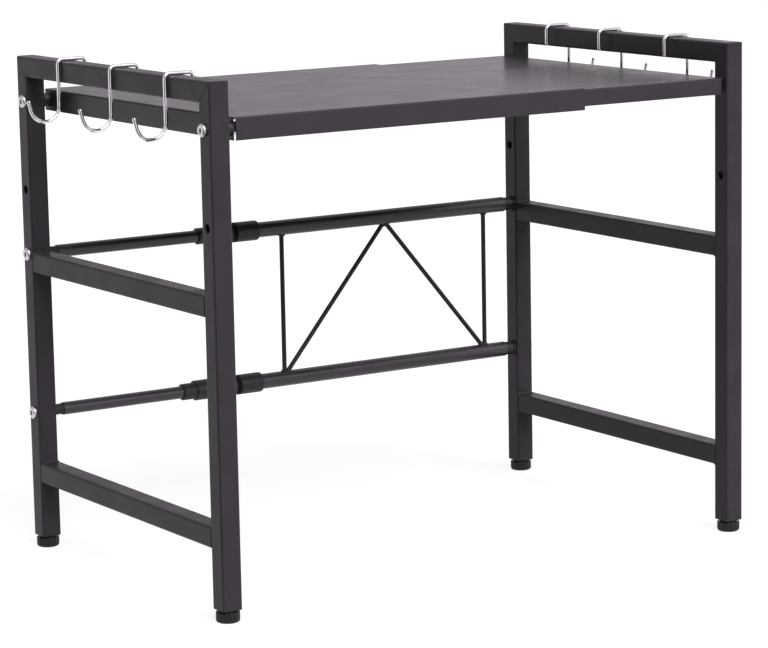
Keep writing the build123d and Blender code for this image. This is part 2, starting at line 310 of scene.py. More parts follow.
def rounded_square(half: float, corner: float, per_flat: int, per_corner: int) -> Array:
    """Lays out a square ring with round corners, counter-clockwise from the start of its +X flat.

    One flat and the arc after it are laid out, and turned by a quarter three times: (a, b) goes
    to (-b, a).

    Args:
        half: Half the square's width.
        corner: The radius of its corners.
        per_flat: How many points each flat has.
        per_corner: How many points each corner has.

    Returns:
        The ring's points, one in each row.
    """
    flat = half - corner
    run = np.linspace(-flat, flat, per_flat, endpoint=False)
    bend = arc((flat, flat), corner, 0, math.pi / 2, per_corner)[:-1]
    ring = [np.concatenate([np.column_stack([np.full(per_flat, half), run]), bend])]
    for _ in range(3):
        ring.append(np.column_stack([-ring[-1][:, 1], ring[-1][:, 0]]))
    return np.concatenate(ring)


def hexagon(flats: float) -> Array:
    """Radius of a hexagon at each angle: its half width over the cosine from the nearest flat's middle."""
    return flats / 2 / np.cos(from_nearest(6, ROUND_STEPS))


def thread(along: Array, radius: float, pitch: float, depth: float) -> Array:
    """Radius by place and angle: a triangle wave, one depth deep, of place / pitch - angle / full turn."""
    phase = (along[:, None] / pitch - full_turn(ROUND_STEPS) / (2 * math.pi)) % 1
    return radius - depth * np.abs(2 * phase - 1)


class Shell:
    """Collects grids of points into one closed mesh and makes a piece of it."""

    def __init__(self) -> None:
        """Starts an empty shell."""
        self.points: list[Array] = []
        self.faces: list[Array] = []
        self.count = 0

    def grid(self, points: Array, wrap_rows: bool = False, wrap_columns: bool = True,
             windows: Array | None = None) -> "Shell":
        """Adds a sheet of four-sided faces over a grid of points.

        Args:
            points: Rows by columns by 3.
            wrap_rows: Whether the last row joins the first.
            wrap_columns: Whether the last column joins the first.
            windows: True for each face that is left out, in the faces' own rows and columns.

        Returns:
            This shell, so that calls can follow each other.
        """
        rows, columns = points.shape[:2]
        index = self.count + np.arange(rows * columns).reshape(rows, columns)
        if wrap_rows:
            index = np.vstack([index, index[:1]])
        if wrap_columns:
            index = np.hstack([index, index[:, :1]])
        faces = np.stack([index[:-1, :-1], index[:-1, 1:], index[1:, 1:], index[1:, :-1]], axis=-1)
        if windows is not None:
            faces = faces[~windows]
        self.points.append(points.reshape(-1, 3))
        self.faces.append(faces.reshape(-1, 4))
        self.count += rows * columns
        return self

    def loop(self, rings: Sequence[Array]) -> "Shell":
        """Adds a skin over rings, whose last ring joins the first."""
        return self.grid(np.stack(rings), wrap_rows=True)

    def rod(self, rings: Array) -> "Shell":
        """Adds a skin over rings, and closes each end on the middle of its ring."""
        ends = [np.broadcast_to(ring.mean(axis=0), ring.shape)[None] for ring in (rings[0], rings[-1])]
        return self.grid(np.concatenate([ends[0], rings, ends[1]]))

    def turned(self, corners: Sequence[Span], edge: float | Array, centre: Array) -> "Shell":
        """Adds a closed profile of places and radii, with rounded corners, turned about X."""
        profile = round_corners(np.array(corners), edge, closed=True)
        return self.loop(turn(profile[:, 0], profile[:, 1], centre))

    def tube(self, ends: Span, radii: Span, edge: float, centre: Array) -> "Shell":
        """Adds a tube about X, between two ends and two radii."""
        (low, high), (inner, outer) = ends, radii
        return self.turned(((low, inner), (low, outer), (high, outer), (high, inner)), edge, centre)

    def piece(self, name: str, finish: Finish, body: str, *stands_for: str) -> None:
        """Makes a piece of the shell, with its doubles merged and its faces outward.

        Args:
            name: The piece's name.
            finish: The finish that it is made in.
            body: The body that it rides on.
            stands_for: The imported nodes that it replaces.
        """
        mesh = bpy.data.meshes.new(name)
        mesh.from_pydata(np.concatenate(self.points), [], np.concatenate(self.faces))
        work = bmesh.new()
        work.from_mesh(mesh)
        bmesh.ops.remove_doubles(work, verts=work.verts, dist=MERGE_DISTANCE)
        bmesh.ops.dissolve_degenerate(work, edges=work.edges, dist=MERGE_DISTANCE)
        bmesh.ops.recalc_face_normals(work, faces=work.faces)
        open_edges = sum(not edge.is_manifold for edge in work.edges)
        work.to_mesh(mesh)
        work.free()
        mesh.shade_smooth()
        mesh.set_sharp_from_angle(angle=SHARP_ANGLE)
        mesh.materials.append(bpy.data.materials[finish.look])
        piece = add_object(name, mesh)
        piece.modifiers.new("even shading", "WEIGHTED_NORMAL").keep_sharp = True
        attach(piece, body)
        if stands_for:
            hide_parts(*stands_for)
        log.info("%s: %d faces, %d open edges, on %s", name, len(mesh.polygons), open_edges, body)


# Sub-assemblies

@dataclass
class TubeSection:
    """The side frames' square tube, with its two skins laid out on the same flats."""

    half: float
    corner: float = 2.0 * MM
    wall: float = 1.2 * MM
    per_flat: int = 8
    per_corner: int = 6

    @property
    def flat(self) -> float:
        """Half the width of a flat, which both skins share."""
        return self.half - self.corner

    @property
    def x_flats(self) -> tuple[int, int]:
        """The first columns of the two flats that face along X."""
        return 0, 2 * (self.per_flat + self.per_corner)

    def ring(self, inset: float = 0.0) -> Array:
        """The outer skin's ring, drawn in by the inset on every side."""
        return rounded_square(self.half - inset, self.corner - inset, self.per_flat, self.per_corner)


@dataclass
class WeldBead:
    """A rippled bead of weld under the coating."""

    radius: float = 1.5 * MM
    sink: float = 0.35 * MM
    ripple_pitch: float = 1.5 * MM
    ripple_depth: float = 0.16
    wander: float = 0.08
    wander_lengths: Span = (3.1 * MM, 1.9 * MM)
    second_phase: float = 2.3
    tip: float = 0.02
    ring_pitch: float = 0.35 * MM
    ring_steps: int = 12

    def lay(self, shell: Shell, line: Array, seed: float) -> None:
        """Adds a bead along a line to a shell.

        The radius is the bead's own times the sum of two slow waves and
        1 - ripple_depth (1 - |sin(pi s / ripple_pitch)|), where s is the way along the line. Near
        both ends it falls as a quarter circle does.

        Args:
            shell: The shell that the bead goes into.
            line: The points that the bead follows, in a plane square to Y.
            seed: The slow waves' phase, so that no two beads are alike.
        """
        path = spread(line, self.ring_pitch)
        s = np.arange(len(path)) * self.ring_pitch
        ripple = 1 - self.ripple_depth * (1 - np.abs(np.sin(math.pi * s / self.ripple_pitch)))
        first, second = self.wander_lengths
        slow = self.wander * (np.sin(s / first + seed) + np.sin(s / second + self.second_phase * seed)) / 2
        to_end = np.clip(np.minimum(s, s[-1] - s) / self.radius, self.tip, 1)
        closing = np.sqrt(1 - (1 - to_end) ** 2)
        shell.rod(carry_circle(path, self.radius * (ripple + slow) * closing, self.ring_steps))


@dataclass
class SideFrame:
    """One welded side frame: two posts, three rails, the plugs in the posts' feet and the welds."""

    side: Side
    rim_round: float = 0.3 * MM
    groove_reach: float = 0.4 * MM
    groove_depth: float = 0.3 * MM
    rail_edge: float = 0.25 * MM
    spare_hole_radius: float = 4.0 * MM
    spare_hole_drop: float = 124.0 * MM
    hole_lip: float = 0.35 * MM
    lip_fullness: float = 0.3
    stud_hole_radius: float = 4.05 * MM
    plug_edge: float = 0.5 * MM
    end_phase: float = 3.0
    height_phase: float = 40.0
    mitre_phase: float = 5.0

    def __post_init__(self) -> None:
        """Reads the frame's places from its packed posts, and lays out its tube's rings."""
        post, rear = (Extent.of(f"{self.side.word}_{end.word}_post") for end in End)
        self.x = post.centre[0]
        self.foot_z, self.top_z = post.low[2], post.high[2]
        self.face_y, self.post_y = rear.high[1], rear.centre[1]
        self.bead = WeldBead()
        self.section = TubeSection(half=post.size[0] / 2)
        self.outer, self.groove = self.section.ring(), self.section.ring(self.groove_depth)
        self.inner = self.section.ring(self.section.wall)

    def upright(self, ring: Array, end: End, height: Array | float) -> Array:
        """Stands a section's ring on a post's axis, at one height or at a height for each point."""
        y = end.value * self.post_y + ring[:, 1]
        return np.column_stack([self.x + ring[:, 0], y, np.broadcast_to(height, len(ring))])

    def mitred(self, ring: Array, end: End, drop: float = 0.0) -> Array:
        """Stands a ring on a post's axis, a drop below the mitre: the top less the way in from the face."""
        y = end.value * self.post_y + ring[:, 1]
        return self.upright(ring, end, self.top_z - (self.face_y - np.abs(y)) - drop)

    def post(self, end: End) -> None:
        """Builds a post: both skins from the rim at its foot to the mitre, with a spare hole through.

        The rows of both skins near the hole lie on the same square as the flats' own columns, so
        the faces in that square are left out, and a patch runs from its rim to the round hole.

        Args:
            end: Whether it is the front post or the rear one.
        """
        flat, per_flat = self.section.flat, self.section.per_flat
        stations = self.top_z - self.spare_hole_drop + np.linspace(-flat, flat, per_flat + 1)
        rows = [self.upright(self.section.ring(self.rim_round), end, self.foot_z),
                self.upright(self.outer, end, self.foot_z + self.rim_round)]
        outer_start = len(rows)
        rows += [self.upright(self.outer, end, z) for z in stations]
        rows += [self.mitred(self.outer, end, self.groove_reach), self.mitred(self.groove, end),
                 self.mitred(self.inner, end)]
        inner_start = len(rows)
        rows += [self.upright(self.inner, end, z) for z in (*stations[::-1], self.foot_z)]
        skins = np.stack(rows)
        windows = np.zeros(skins.shape[:2], dtype=bool)
        shell = Shell()
        for column in self.section.x_flats:
            blocks = []
            for start in (outer_start, inner_start):
                windows[start:start + per_flat, column:column + per_flat] = True
                blocks.append(skins[start:start + per_flat + 1, column:column + per_flat + 1])
            shell.grid(self.hole_patch(blocks[0], blocks[1][::-1]))
        shell.grid(skins, wrap_rows=True, windows=windows)
        node = f"{self.side.word}_{end.word}_post"
        shell.piece(f"{node}_tube", Finish.FRAME_COAT, self.side.body, node)

    def hole_patch(self, outside: Array, inside: Array) -> Array:
        """Lays rings from a square window in the outer skin, through the hole, to the inner skin's.

        A ring's point lies from the window's middle towards the rim's point, at the ring's radius.

        Args:
            outside: The outer skin's points over the window.
            inside: The inner skin's points over the same window.

        Returns:
            The patch's rings, from the outer rim to the inner one.
        """
        rim, inner_rim = (np.concatenate([block[0, :-1], block[:-1, -1], block[-1, :0:-1], block[:0:-1, 0]])
                          for block in (outside, inside))
        middle = rim.mean(axis=0)
        ray = unit(rim - middle)
        inward = inner_rim.mean(axis=0) - middle
        lip = unit(inward) * self.hole_lip
        radius, fullness = self.spare_hole_radius, self.lip_fullness
        mouth = middle + ray * (radius + self.hole_lip)
        return np.stack([rim, (rim + mouth) / 2, mouth,
                         middle + ray * (radius + self.hole_lip * fullness) + lip * fullness,
                         middle + ray * radius + lip, middle + ray * radius + inward, inner_rim])

    def rail(self, place: str, z: float, sections: Sequence[tuple[Array, Array | float]]) -> None:
        """Builds a rail.

        Args:
            place: Which rail it is, as its node's name says.
            z: The height of its axis.
            sections: Each ring of its loop, with its place along Y or a place for each point.
        """
        rings = [np.column_stack([self.x + ring[:, 0], np.broadcast_to(y, len(ring)), z + ring[:, 1]])
                 for ring, y in sections]
        node = f"{self.side.word}_{place}_rail"
        Shell().loop(rings).piece(f"{node}_tube", Finish.FRAME_COAT, self.side.body, node)

    def top_rail(self) -> None:
        """Builds the top rail, whose ends lie on the mitre: as far in as the point lies below the top."""
        z = self.top_z - self.section.half
        rings = ((self.groove, End.FRONT, 0.0), (self.outer, End.FRONT, self.groove_reach),
                 (self.outer, End.REAR, self.groove_reach), (self.groove, End.REAR, 0.0),
                 (self.inner, End.REAR, 0.0), (self.inner, End.FRONT, 0.0))
        self.rail("top", z, [(ring, end.value * (self.face_y - (self.top_z - z - ring[:, 1]) - back))
                             for ring, end, back in rings])

    def cross_rail(self, place: str) -> float:
        """Builds the middle or the lower rail between the posts.

        Args:
            place: Which rail it is, as its node's name says.

        Returns:
            The height of its axis.
        """
        extent = Extent.of(f"{self.side.word}_{place}_rail")
        z, reach = extent.centre[2], extent.high[1]
        edge, full = self.section.ring(self.rail_edge), reach - self.rail_edge
        self.rail(place, z, ((edge, -reach), (self.outer, -full), (self.outer, full), (edge, reach),
                             (self.inner, reach), (self.inner, -reach)))
        return z

    def welds(self, heights: Sequence[float]) -> None:
        """Lays the beads round three sides of each rail's ends and inside the mitres.

        Args:
            heights: The heights of the butted rails' axes.
        """
        shell = Shell()
        outward, flat, edge = self.side.value, self.section.flat, self.section.half - self.bead.sink
        corners = np.array([(flat, edge), (-edge, edge), (-edge, -edge), (flat, -edge)])
        bend = round_corners(corners, self.section.corner)
        below_top = self.bead.sink - 2 * self.section.half
        for end in End:
            y = end.value * (self.face_y + below_top)
            for height in heights:
                line = np.column_stack([self.x + outward * bend[:, 0], np.full(len(bend), y),
                                        height + bend[:, 1]])
                seed = outward + self.end_phase * end.value + self.height_phase * height
                self.bead.lay(shell, line, seed)
            line = np.array([(self.x + reach, y, self.top_z + below_top) for reach in (-flat, flat)])
            self.bead.lay(shell, line, outward + self.mitre_phase * end.value)
        shell.piece(f"{self.side.word}_frame_welds", Finish.FRAME_COAT, self.side.body)

    def foot_plugs(self) -> None:
        """Builds the square plugs in the posts' feet, each with a round bore for the stud.

        A plug's skins are a rounded square and, at the same angles, the bore's circle.
        """
        node = f"{self.side.word}_foot_inserts"
        extent = Extent.of(node)
        low, high = extent.low[2], extent.high[2]
        outer, face = (rounded_square(extent.size[0] / 2 - inset, self.section.corner - self.section.wall,
                                      self.section.per_flat, self.section.per_corner)
                       for inset in (0.0, self.plug_edge))
        bore, mouth = (unit(outer) * (self.stud_hole_radius + lip) for lip in (0.0, self.plug_edge))
        profile = ((mouth, low), (face, low), (outer, low + self.plug_edge), (outer, high), (bore, high),
                   (bore, low + self.plug_edge))
        shell = Shell()
        for end in End:
            shell.loop([self.upright(ring, end, z) for ring, z in profile])
        shell.piece(f"{node}_moulded", Finish.MATTE_PLASTIC, self.side.body, node)

    def build(self) -> None:
        """Builds the whole side frame."""
        for end in End:
            self.post(end)
        self.top_rail()
        self.welds([self.cross_rail(place) for place in ("middle", "lower")])
        self.foot_plugs()


@dataclass
class DeckPanel:
    """One of the deck's two nested sheets, folded down on three sides with lips turned in."""

    side: Side
    lip: float
    sheet: float = 0.8 * MM
    bend: float = 1.8 * MM
    lip_setback: float = 14.0 * MM
    cut_edge: float = 0.1 * MM

    def __post_init__(self) -> None:
        """Reads the panel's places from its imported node."""
        self.node = f"{self.side.word}_deck_panel"
        extent = Extent.of(self.node)
        self.closed_end = extent.high[0] if self.side is Side.RIGHT else -extent.low[0]
        self.length = extent.size[0]
        self.half_depth = extent.size[1] / 2
        self.bottom, self.top = extent.low[2], extent.high[2]

    def section(self, has_flange: bool, has_lip: bool) -> Array:
        """Both skins of the sheet across a fold, as inset from the panel's outline and height.

        The outer skin runs from the deck's middle over the fold, a quarter circle of the bend's
        radius, and down the flange to the lip's edge. The inner skin is the same line one sheet
        inside, run backwards.

        Args:
            has_flange: Whether the flange is there, or slit away under the fold.
            has_lip: Whether a lip is turned in at the flange's foot.

        Returns:
            Rows of inset and height.
        """
        top, bend, sheet = self.top, self.bend, self.sheet
        bottom = self.bottom if has_flange else top - bend - self.cut_edge
        width, foot, rise = (sheet + self.lip, sheet, sheet) if has_lip else (sheet, self.cut_edge, 0.0)
        folds = [arc((bend, top - bend), bend - depth, math.pi / 2, math.pi, FOLD_STEPS)
                 for depth in (0.0, sheet)]
        turned_in = arc((foot, bottom + foot), foot, math.pi, 1.5 * math.pi, FOLD_STEPS)
        inside_foot = np.tile([sheet, bottom + rise], (FOLD_STEPS + 1, 1))
        outer = np.concatenate([[(self.half_depth, top)], folds[0], turned_in, [(width, bottom)]])
        inner = np.concatenate([[(self.half_depth, top - sheet)], folds[1], inside_foot,
                                [(width, bottom + rise)]])
        return np.concatenate([outer, inner[::-1]])

    def on_run(self, reach: float, inset: Array) -> Array:
        """Plan of a section on the front run, which keeps to its side of the mitre because its reach is
        drawn towards the free end in proportion.

        Args:
            reach: How far from the closed end the section stands.
            inset: How far in from the outline each point lies.

        Returns:
            Rows of distance from the closed end and Y.
        """
        corner = np.maximum(inset, self.bend)
        share = (self.length - reach) / (self.length - self.bend)
        return np.column_stack([self.length - share * (self.length - corner), inset - self.half_depth])

    def on_corner(self, angle: float, inset: Array) -> Array:
        """Plan of a section on the front corner: a circle of the bend's radius less the inset, and past
        the bend's radius the point on the diagonal.

        Args:
            angle: The angle round the corner from the front run.
            inset: How far in from the outline each point lies.

        Returns:
            Rows of distance from the closed end and Y.
        """
        radius = np.maximum(self.bend - inset, 0)
        centre = np.maximum(inset, self.bend)
        return np.column_stack([centre - radius * math.sin(angle),
                                centre - self.half_depth - radius * math.cos(angle)])

    def on_end(self, share: float, inset: Array) -> Array:
        """Plan of a section on the closed end, at a share of the way from its middle to its corner."""
        return np.column_stack([inset, -share * (self.half_depth - np.maximum(inset, self.bend))])

    def build(self) -> None:
        """Builds the panel as its section carried from the front free edge to the rear one.

        Where the lip or the flange ends, two sections stand at one place, and the faces between
        them close the cut.
        """
        stages = [(self.on_run, self.length, True, True), (self.on_run, self.lip_setback, True, True),
                  (self.on_run, self.lip_setback, True, False), (self.on_run, self.bend, True, False),
                  (self.on_run, self.bend, False, False)]
        stages += [(self.on_corner, angle, False, False)
                   for angle in np.linspace(0, math.pi / 2, FOLD_STEPS + 1)]
        stages += [(self.on_end, share, True, False) for share in (1.0, 0.0)]
        rows = []
        for plan, place, has_flange, has_lip in stages:
            section = self.section(has_flange, has_lip)
            rows.append(np.column_stack([plan(place, section[:, 0]), section[:, 1]]))
        front = np.stack(rows)
        front[..., 0] = self.side.value * (self.closed_end - front[..., 0])
        whole = np.concatenate([front, front[::-1] * np.array([1, -1, 1])])
        shell = Shell().grid(whole, wrap_columns=False)
        skin = whole.shape[1] // 2
        for edge in (whole[0], whole[-1]):
            shell.grid(np.stack([edge[:skin], edge[:skin - 1:-1]]), wrap_columns=False)
        shell.piece(f"{self.node}_sheet", Finish.DECK_COAT, self.side.body, self.node)


@dataclass
class RoundHeadScrew:
    """A round-headed socket screw along X, from a post's outer face inwards."""

    head_radius: float = 6.0 * MM
    head_height: float = 3.2 * MM
    head_round: float = 2.2 * MM
    head_edge: float = 0.2 * MM
    socket_flats: float = 4.0 * MM
    socket_depth: float = 2.0 * MM
    socket_mouth: float = 0.35 * MM
    drill_point: float = 0.3 * MM
    shank_radius: float = 3.0 * MM
    thread_length: float = 9.0 * MM
    thread_pitch: float = 1.0 * MM
    thread_depth: float = 0.45 * MM
    rows_per_turn: int = 8

    def add(self, shell: Shell, side: Side, face_x: float, reach: float, centre: Array) -> None:
        """Adds a screw to a shell.

        Its profile runs from the socket's point up the hexagon, over the dome and down the shank.

        Args:
            shell: The shell that the screw goes into.
            side: The side whose outer face the head sits on.
            face_x: How far that face is from the shelf's middle.
            reach: How far the shank goes in from the face.
            centre: A point on the screw's axis.
        """
        ones = np.ones(ROUND_STEPS)
        socket = hexagon(self.socket_flats)
        crown = -self.head_height
        floor = crown + self.socket_depth
        mouth = self.socket_flats / math.sqrt(3) + self.socket_mouth
        dome = arc((crown + self.head_round, self.head_radius - self.head_round), self.head_round,
                   math.pi, math.pi / 2, 2 * FOLD_STEPS)
        rows = [(floor + self.drill_point, 0 * ones), (floor, socket),
                (crown + self.socket_mouth, socket), (crown, mouth * ones)]
        rows += [(place, radius * ones) for place, radius in dome]
        rows += [(-self.head_edge, self.head_radius * ones),
                 (0.0, (self.head_radius - self.head_edge) * ones), (0.0, self.shank_radius * ones)]
        count = round(self.thread_length / self.thread_pitch * self.rows_per_turn)
        threaded = np.linspace(0, self.thread_length - self.thread_depth, count) + reach - self.thread_length
        rows += zip(threaded, thread(threaded, self.shank_radius, self.thread_pitch, self.thread_depth))
        rows += [(reach, (self.shank_radius - 2 * self.thread_depth) * ones), (reach, 0 * ones)]
        along, radius = (np.array(values) for values in zip(*rows))
        shell.grid(turn(side.value * (face_x - along), radius, centre))


@dataclass
class Fasteners:
    """The screws of one side, with the deck's nuts and the spacers behind the deck's end."""

    side: Side
    screw: RoundHeadScrew
    nut_flats: float = 10.0 * MM
    nut_bevel: float = 0.45 * MM
    nut_face_inset: float = 0.1 * MM
    bevel_rows: int = 4
    spacer_edge: float = 0.4 * MM
    spacer_bore: float = 3.25 * MM

    def screws(self, kind: str, apart: Axis) -> list[Array]:
        """Builds one kind of screw, on axes one head radius inside the ends of its node's box.

        Args:
            kind: Whether they hold the deck or a rod, as their node's name says.
            apart: The axis along which the two screws stand apart.

        Returns:
            A point on each screw's axis.
        """
        node = f"{self.side.word}_{kind}_screws"
        extent = Extent.of(node)
        near, far = sorted(np.abs(extent.ends))
        face = far - self.screw.head_height
        shell = Shell()
        axes = [extent.centre, extent.centre]
        axes[0][apart.value] = extent.low[apart.value] + self.screw.head_radius
        axes[1][apart.value] = extent.high[apart.value] - self.screw.head_radius
        for axis in axes:
            self.screw.add(shell, self.side, face, face - near, axis)
        shell.piece(f"{node}_plated", Finish.ZINC, self.side.body, node)
        return axes

    def nuts(self, axes: Sequence[Array]) -> None:
        """Builds the deck's hexagon nuts: at each place the smaller of the hexagon and a bevel cone.

        Args:
            axes: A point on each nut's axis.
        """
        node = f"{self.side.word}_deck_nuts"
        extent = Extent.of(node)
        low, high = extent.ends
        bore, bevel = self.screw.shank_radius, self.nut_bevel
        steps = np.linspace(0, bevel, self.bevel_rows)
        outside = np.concatenate([low + steps, high - steps[::-1]])
        depth = np.minimum(outside - low, high - outside)
        cone = self.nut_flats / 2 - self.nut_face_inset + depth * math.sqrt(3)
        skin = np.minimum(hexagon(self.nut_flats), cone[:, None])
        mouth, hole = (np.full((1, ROUND_STEPS), size) for size in (bore + bevel, bore))
        along = np.concatenate([[low], outside, [high, high - bevel, low + bevel]])
        radius = np.vstack([mouth, skin, mouth, hole, hole])
        shell = Shell()
        for axis in axes:
            shell.loop(turn(along, radius, axis))
        shell.piece(f"{node}_plated", Finish.ZINC, self.side.body, node)

    def spacers(self, axes: Sequence[Array]) -> None:
        """Builds the round spacers that hold the left panel off its posts.

        Args:
            axes: A point on each spacer's axis.
        """
        node = f"{self.side.word}_deck_standoffs"
        extent = Extent.of(node)
        shell = Shell()
        for axis in axes:
            shell.tube(extent.ends, (self.spacer_bore, extent.radius), self.spacer_edge, axis)
        shell.piece(f"{node}_moulded", Finish.MATTE_PLASTIC, self.side.body, node)

    def build(self) -> None:
        """Builds all of this side's fasteners."""
        deck_axes = self.screws("deck", Axis.Y)
        self.screws("rod", Axis.Z)
        self.nuts(deck_axes)
        if self.side is Side.LEFT:
            self.spacers(deck_axes)


@dataclass
class RearRods:
    """The telescoping rods with their plugs and sleeves."""

    thin_wall: float = 1.0 * MM
    thick_wall: float = 1.2 * MM
    rod_edge: float = 0.2 * MM
    plug_flange: float = 2.0 * MM
    plug_proud: float = 0.4 * MM
    plug_neck_inset: float = 0.9 * MM
    plug_stem: float = 15.0 * MM
    plug_bore: float = 3.0 * MM
    plug_edge: float = 0.35 * MM
    nose_radius: float = 8.0 * MM
    nose_length: float = 14.0 * MM
    nose_edge: float = 0.675 * MM
    sleeve_round: float = 1.3 * MM
    sleeve_edge: float = 0.45 * MM
    sleeve_running_gap: float = 0.08 * MM
    groove_back: float = 30.0 * MM
    groove_width: float = 5.0 * MM
    groove_depth: float = 0.7 * MM
    band_gap: float = 0.12 * MM
    band_height: float = 0.5 * MM

    def rod(self, node: str, wall: float, side: Side) -> Extent:
        """Builds one rod as a tube.

        Args:
            node: The rod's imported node.
            wall: The thickness of its wall.
            side: The side whose frame holds it.

        Returns:
            The rod's box.
        """
        extent = Extent.of(node)
        radii = extent.radius - wall, extent.radius
        shell = Shell().tube(extent.ends, radii, self.rod_edge, extent.centre)
        shell.piece(f"{node}_tube", Finish.ROD_COAT, side.body, node)
        return extent

    def plugs(self, kind: str, side: Side, rods: Sequence[Extent], wall: float) -> None:
        """Builds the plugs between a side's rear post and its rods: a flange, a neck and a stem.

        Args:
            kind: Which rods they hold, as their node's name says.
            side: The side whose frame holds them.
            rods: The rods' boxes.
            wall: The thickness of the rods' walls.
        """
        node = f"{kind}_rod_plugs"
        extent = Extent.of(node)
        out, into = (extent.low[0], 1) if side is Side.LEFT else (extent.high[0], -1)
        shell = Shell()
        for rod in rods:
            rod_end = rod.low[0] if side is Side.LEFT else rod.high[0]
            flange, neck = rod.radius + self.plug_proud, rod.radius - self.plug_neck_inset
            stem = rod.radius - wall
            tip = rod_end + into * self.plug_stem
            seat = out + into * self.plug_flange
            corners = ((out, self.plug_bore), (out, flange), (seat, flange), (seat, neck), (rod_end, neck),
                       (rod_end, stem), (tip, stem), (tip, self.plug_bore))
            shell.turned(corners, self.plug_edge, rod.centre)
        shell.piece(f"{node}_moulded", Finish.MATTE_PLASTIC, side.body, node)

    def sleeve(self, place: str, thin: Extent, thick: Extent) -> None:
        """Builds the stepped sleeve on a thick rod's mouth, and a near-black band that darkens its groove.

        Args:
            place: Which sleeve it is, as its node's name says.
            thin: The box of the thin rod that runs through it.
            thick: The box of the thick rod that it sits on.
        """
        node = f"{place}_rod_sleeve"
        extent = Extent.of(node)
        (nose, tail), barrel = extent.ends, extent.radius
        step, mouth, wide = nose + self.nose_length, thick.low[0], self.nose_radius
        bore, seat = thin.radius + self.sleeve_running_gap, thick.radius
        groove, floor = tail - self.groove_back, barrel - self.groove_depth
        shoulder, edge, crisp = groove + self.groove_width, self.sleeve_edge, self.sleeve_edge / 2
        profile = np.array([
            (nose, bore, edge), (nose, wide, self.nose_edge), (step, wide, edge), (step, barrel, edge),
            (groove, barrel, crisp), (groove, floor, crisp), (shoulder, floor, crisp),
            (shoulder, barrel, crisp), (tail, barrel, self.sleeve_round), (tail, seat, crisp),
            (mouth, seat, 0), (mouth, bore, 0)])
        shell = Shell().turned(profile[:, :2], profile[:, 2], extent.centre)
        shell.piece(f"{node}_moulded", Finish.MATTE_PLASTIC, Side.RIGHT.body, node)
        # The band is near-black and sits just proud of the groove's floor, darkening the groove.
        ends = groove + self.band_gap, shoulder - self.band_gap
        radii = floor - self.band_gap / 2, floor + self.band_height
        band = Shell().tube(ends, radii, self.band_gap, extent.centre)
        band.piece(f"{node}_band", Finish.RUBBER, Side.RIGHT.body)

    def build(self) -> list[Extent]:
        """Builds every rod, plug and sleeve.

        Returns:
            The boxes of the upper and the lower thick rod.
        """
        places = ("upper", "lower")
        thin = [self.rod(f"{place}_thin_rod", self.thin_wall, Side.LEFT) for place in places]
        thick = [self.rod(f"{place}_thick_rod", self.thick_wall, Side.RIGHT) for place in places]
        self.plugs("thin", Side.LEFT, thin, self.thin_wall)
        self.plugs("thick", Side.RIGHT, thick, self.thick_wall)
        for place, thin_rod, thick_rod in zip(places, thin, thick):
            self.sleeve(place, thin_rod, thick_rod)
        return thick


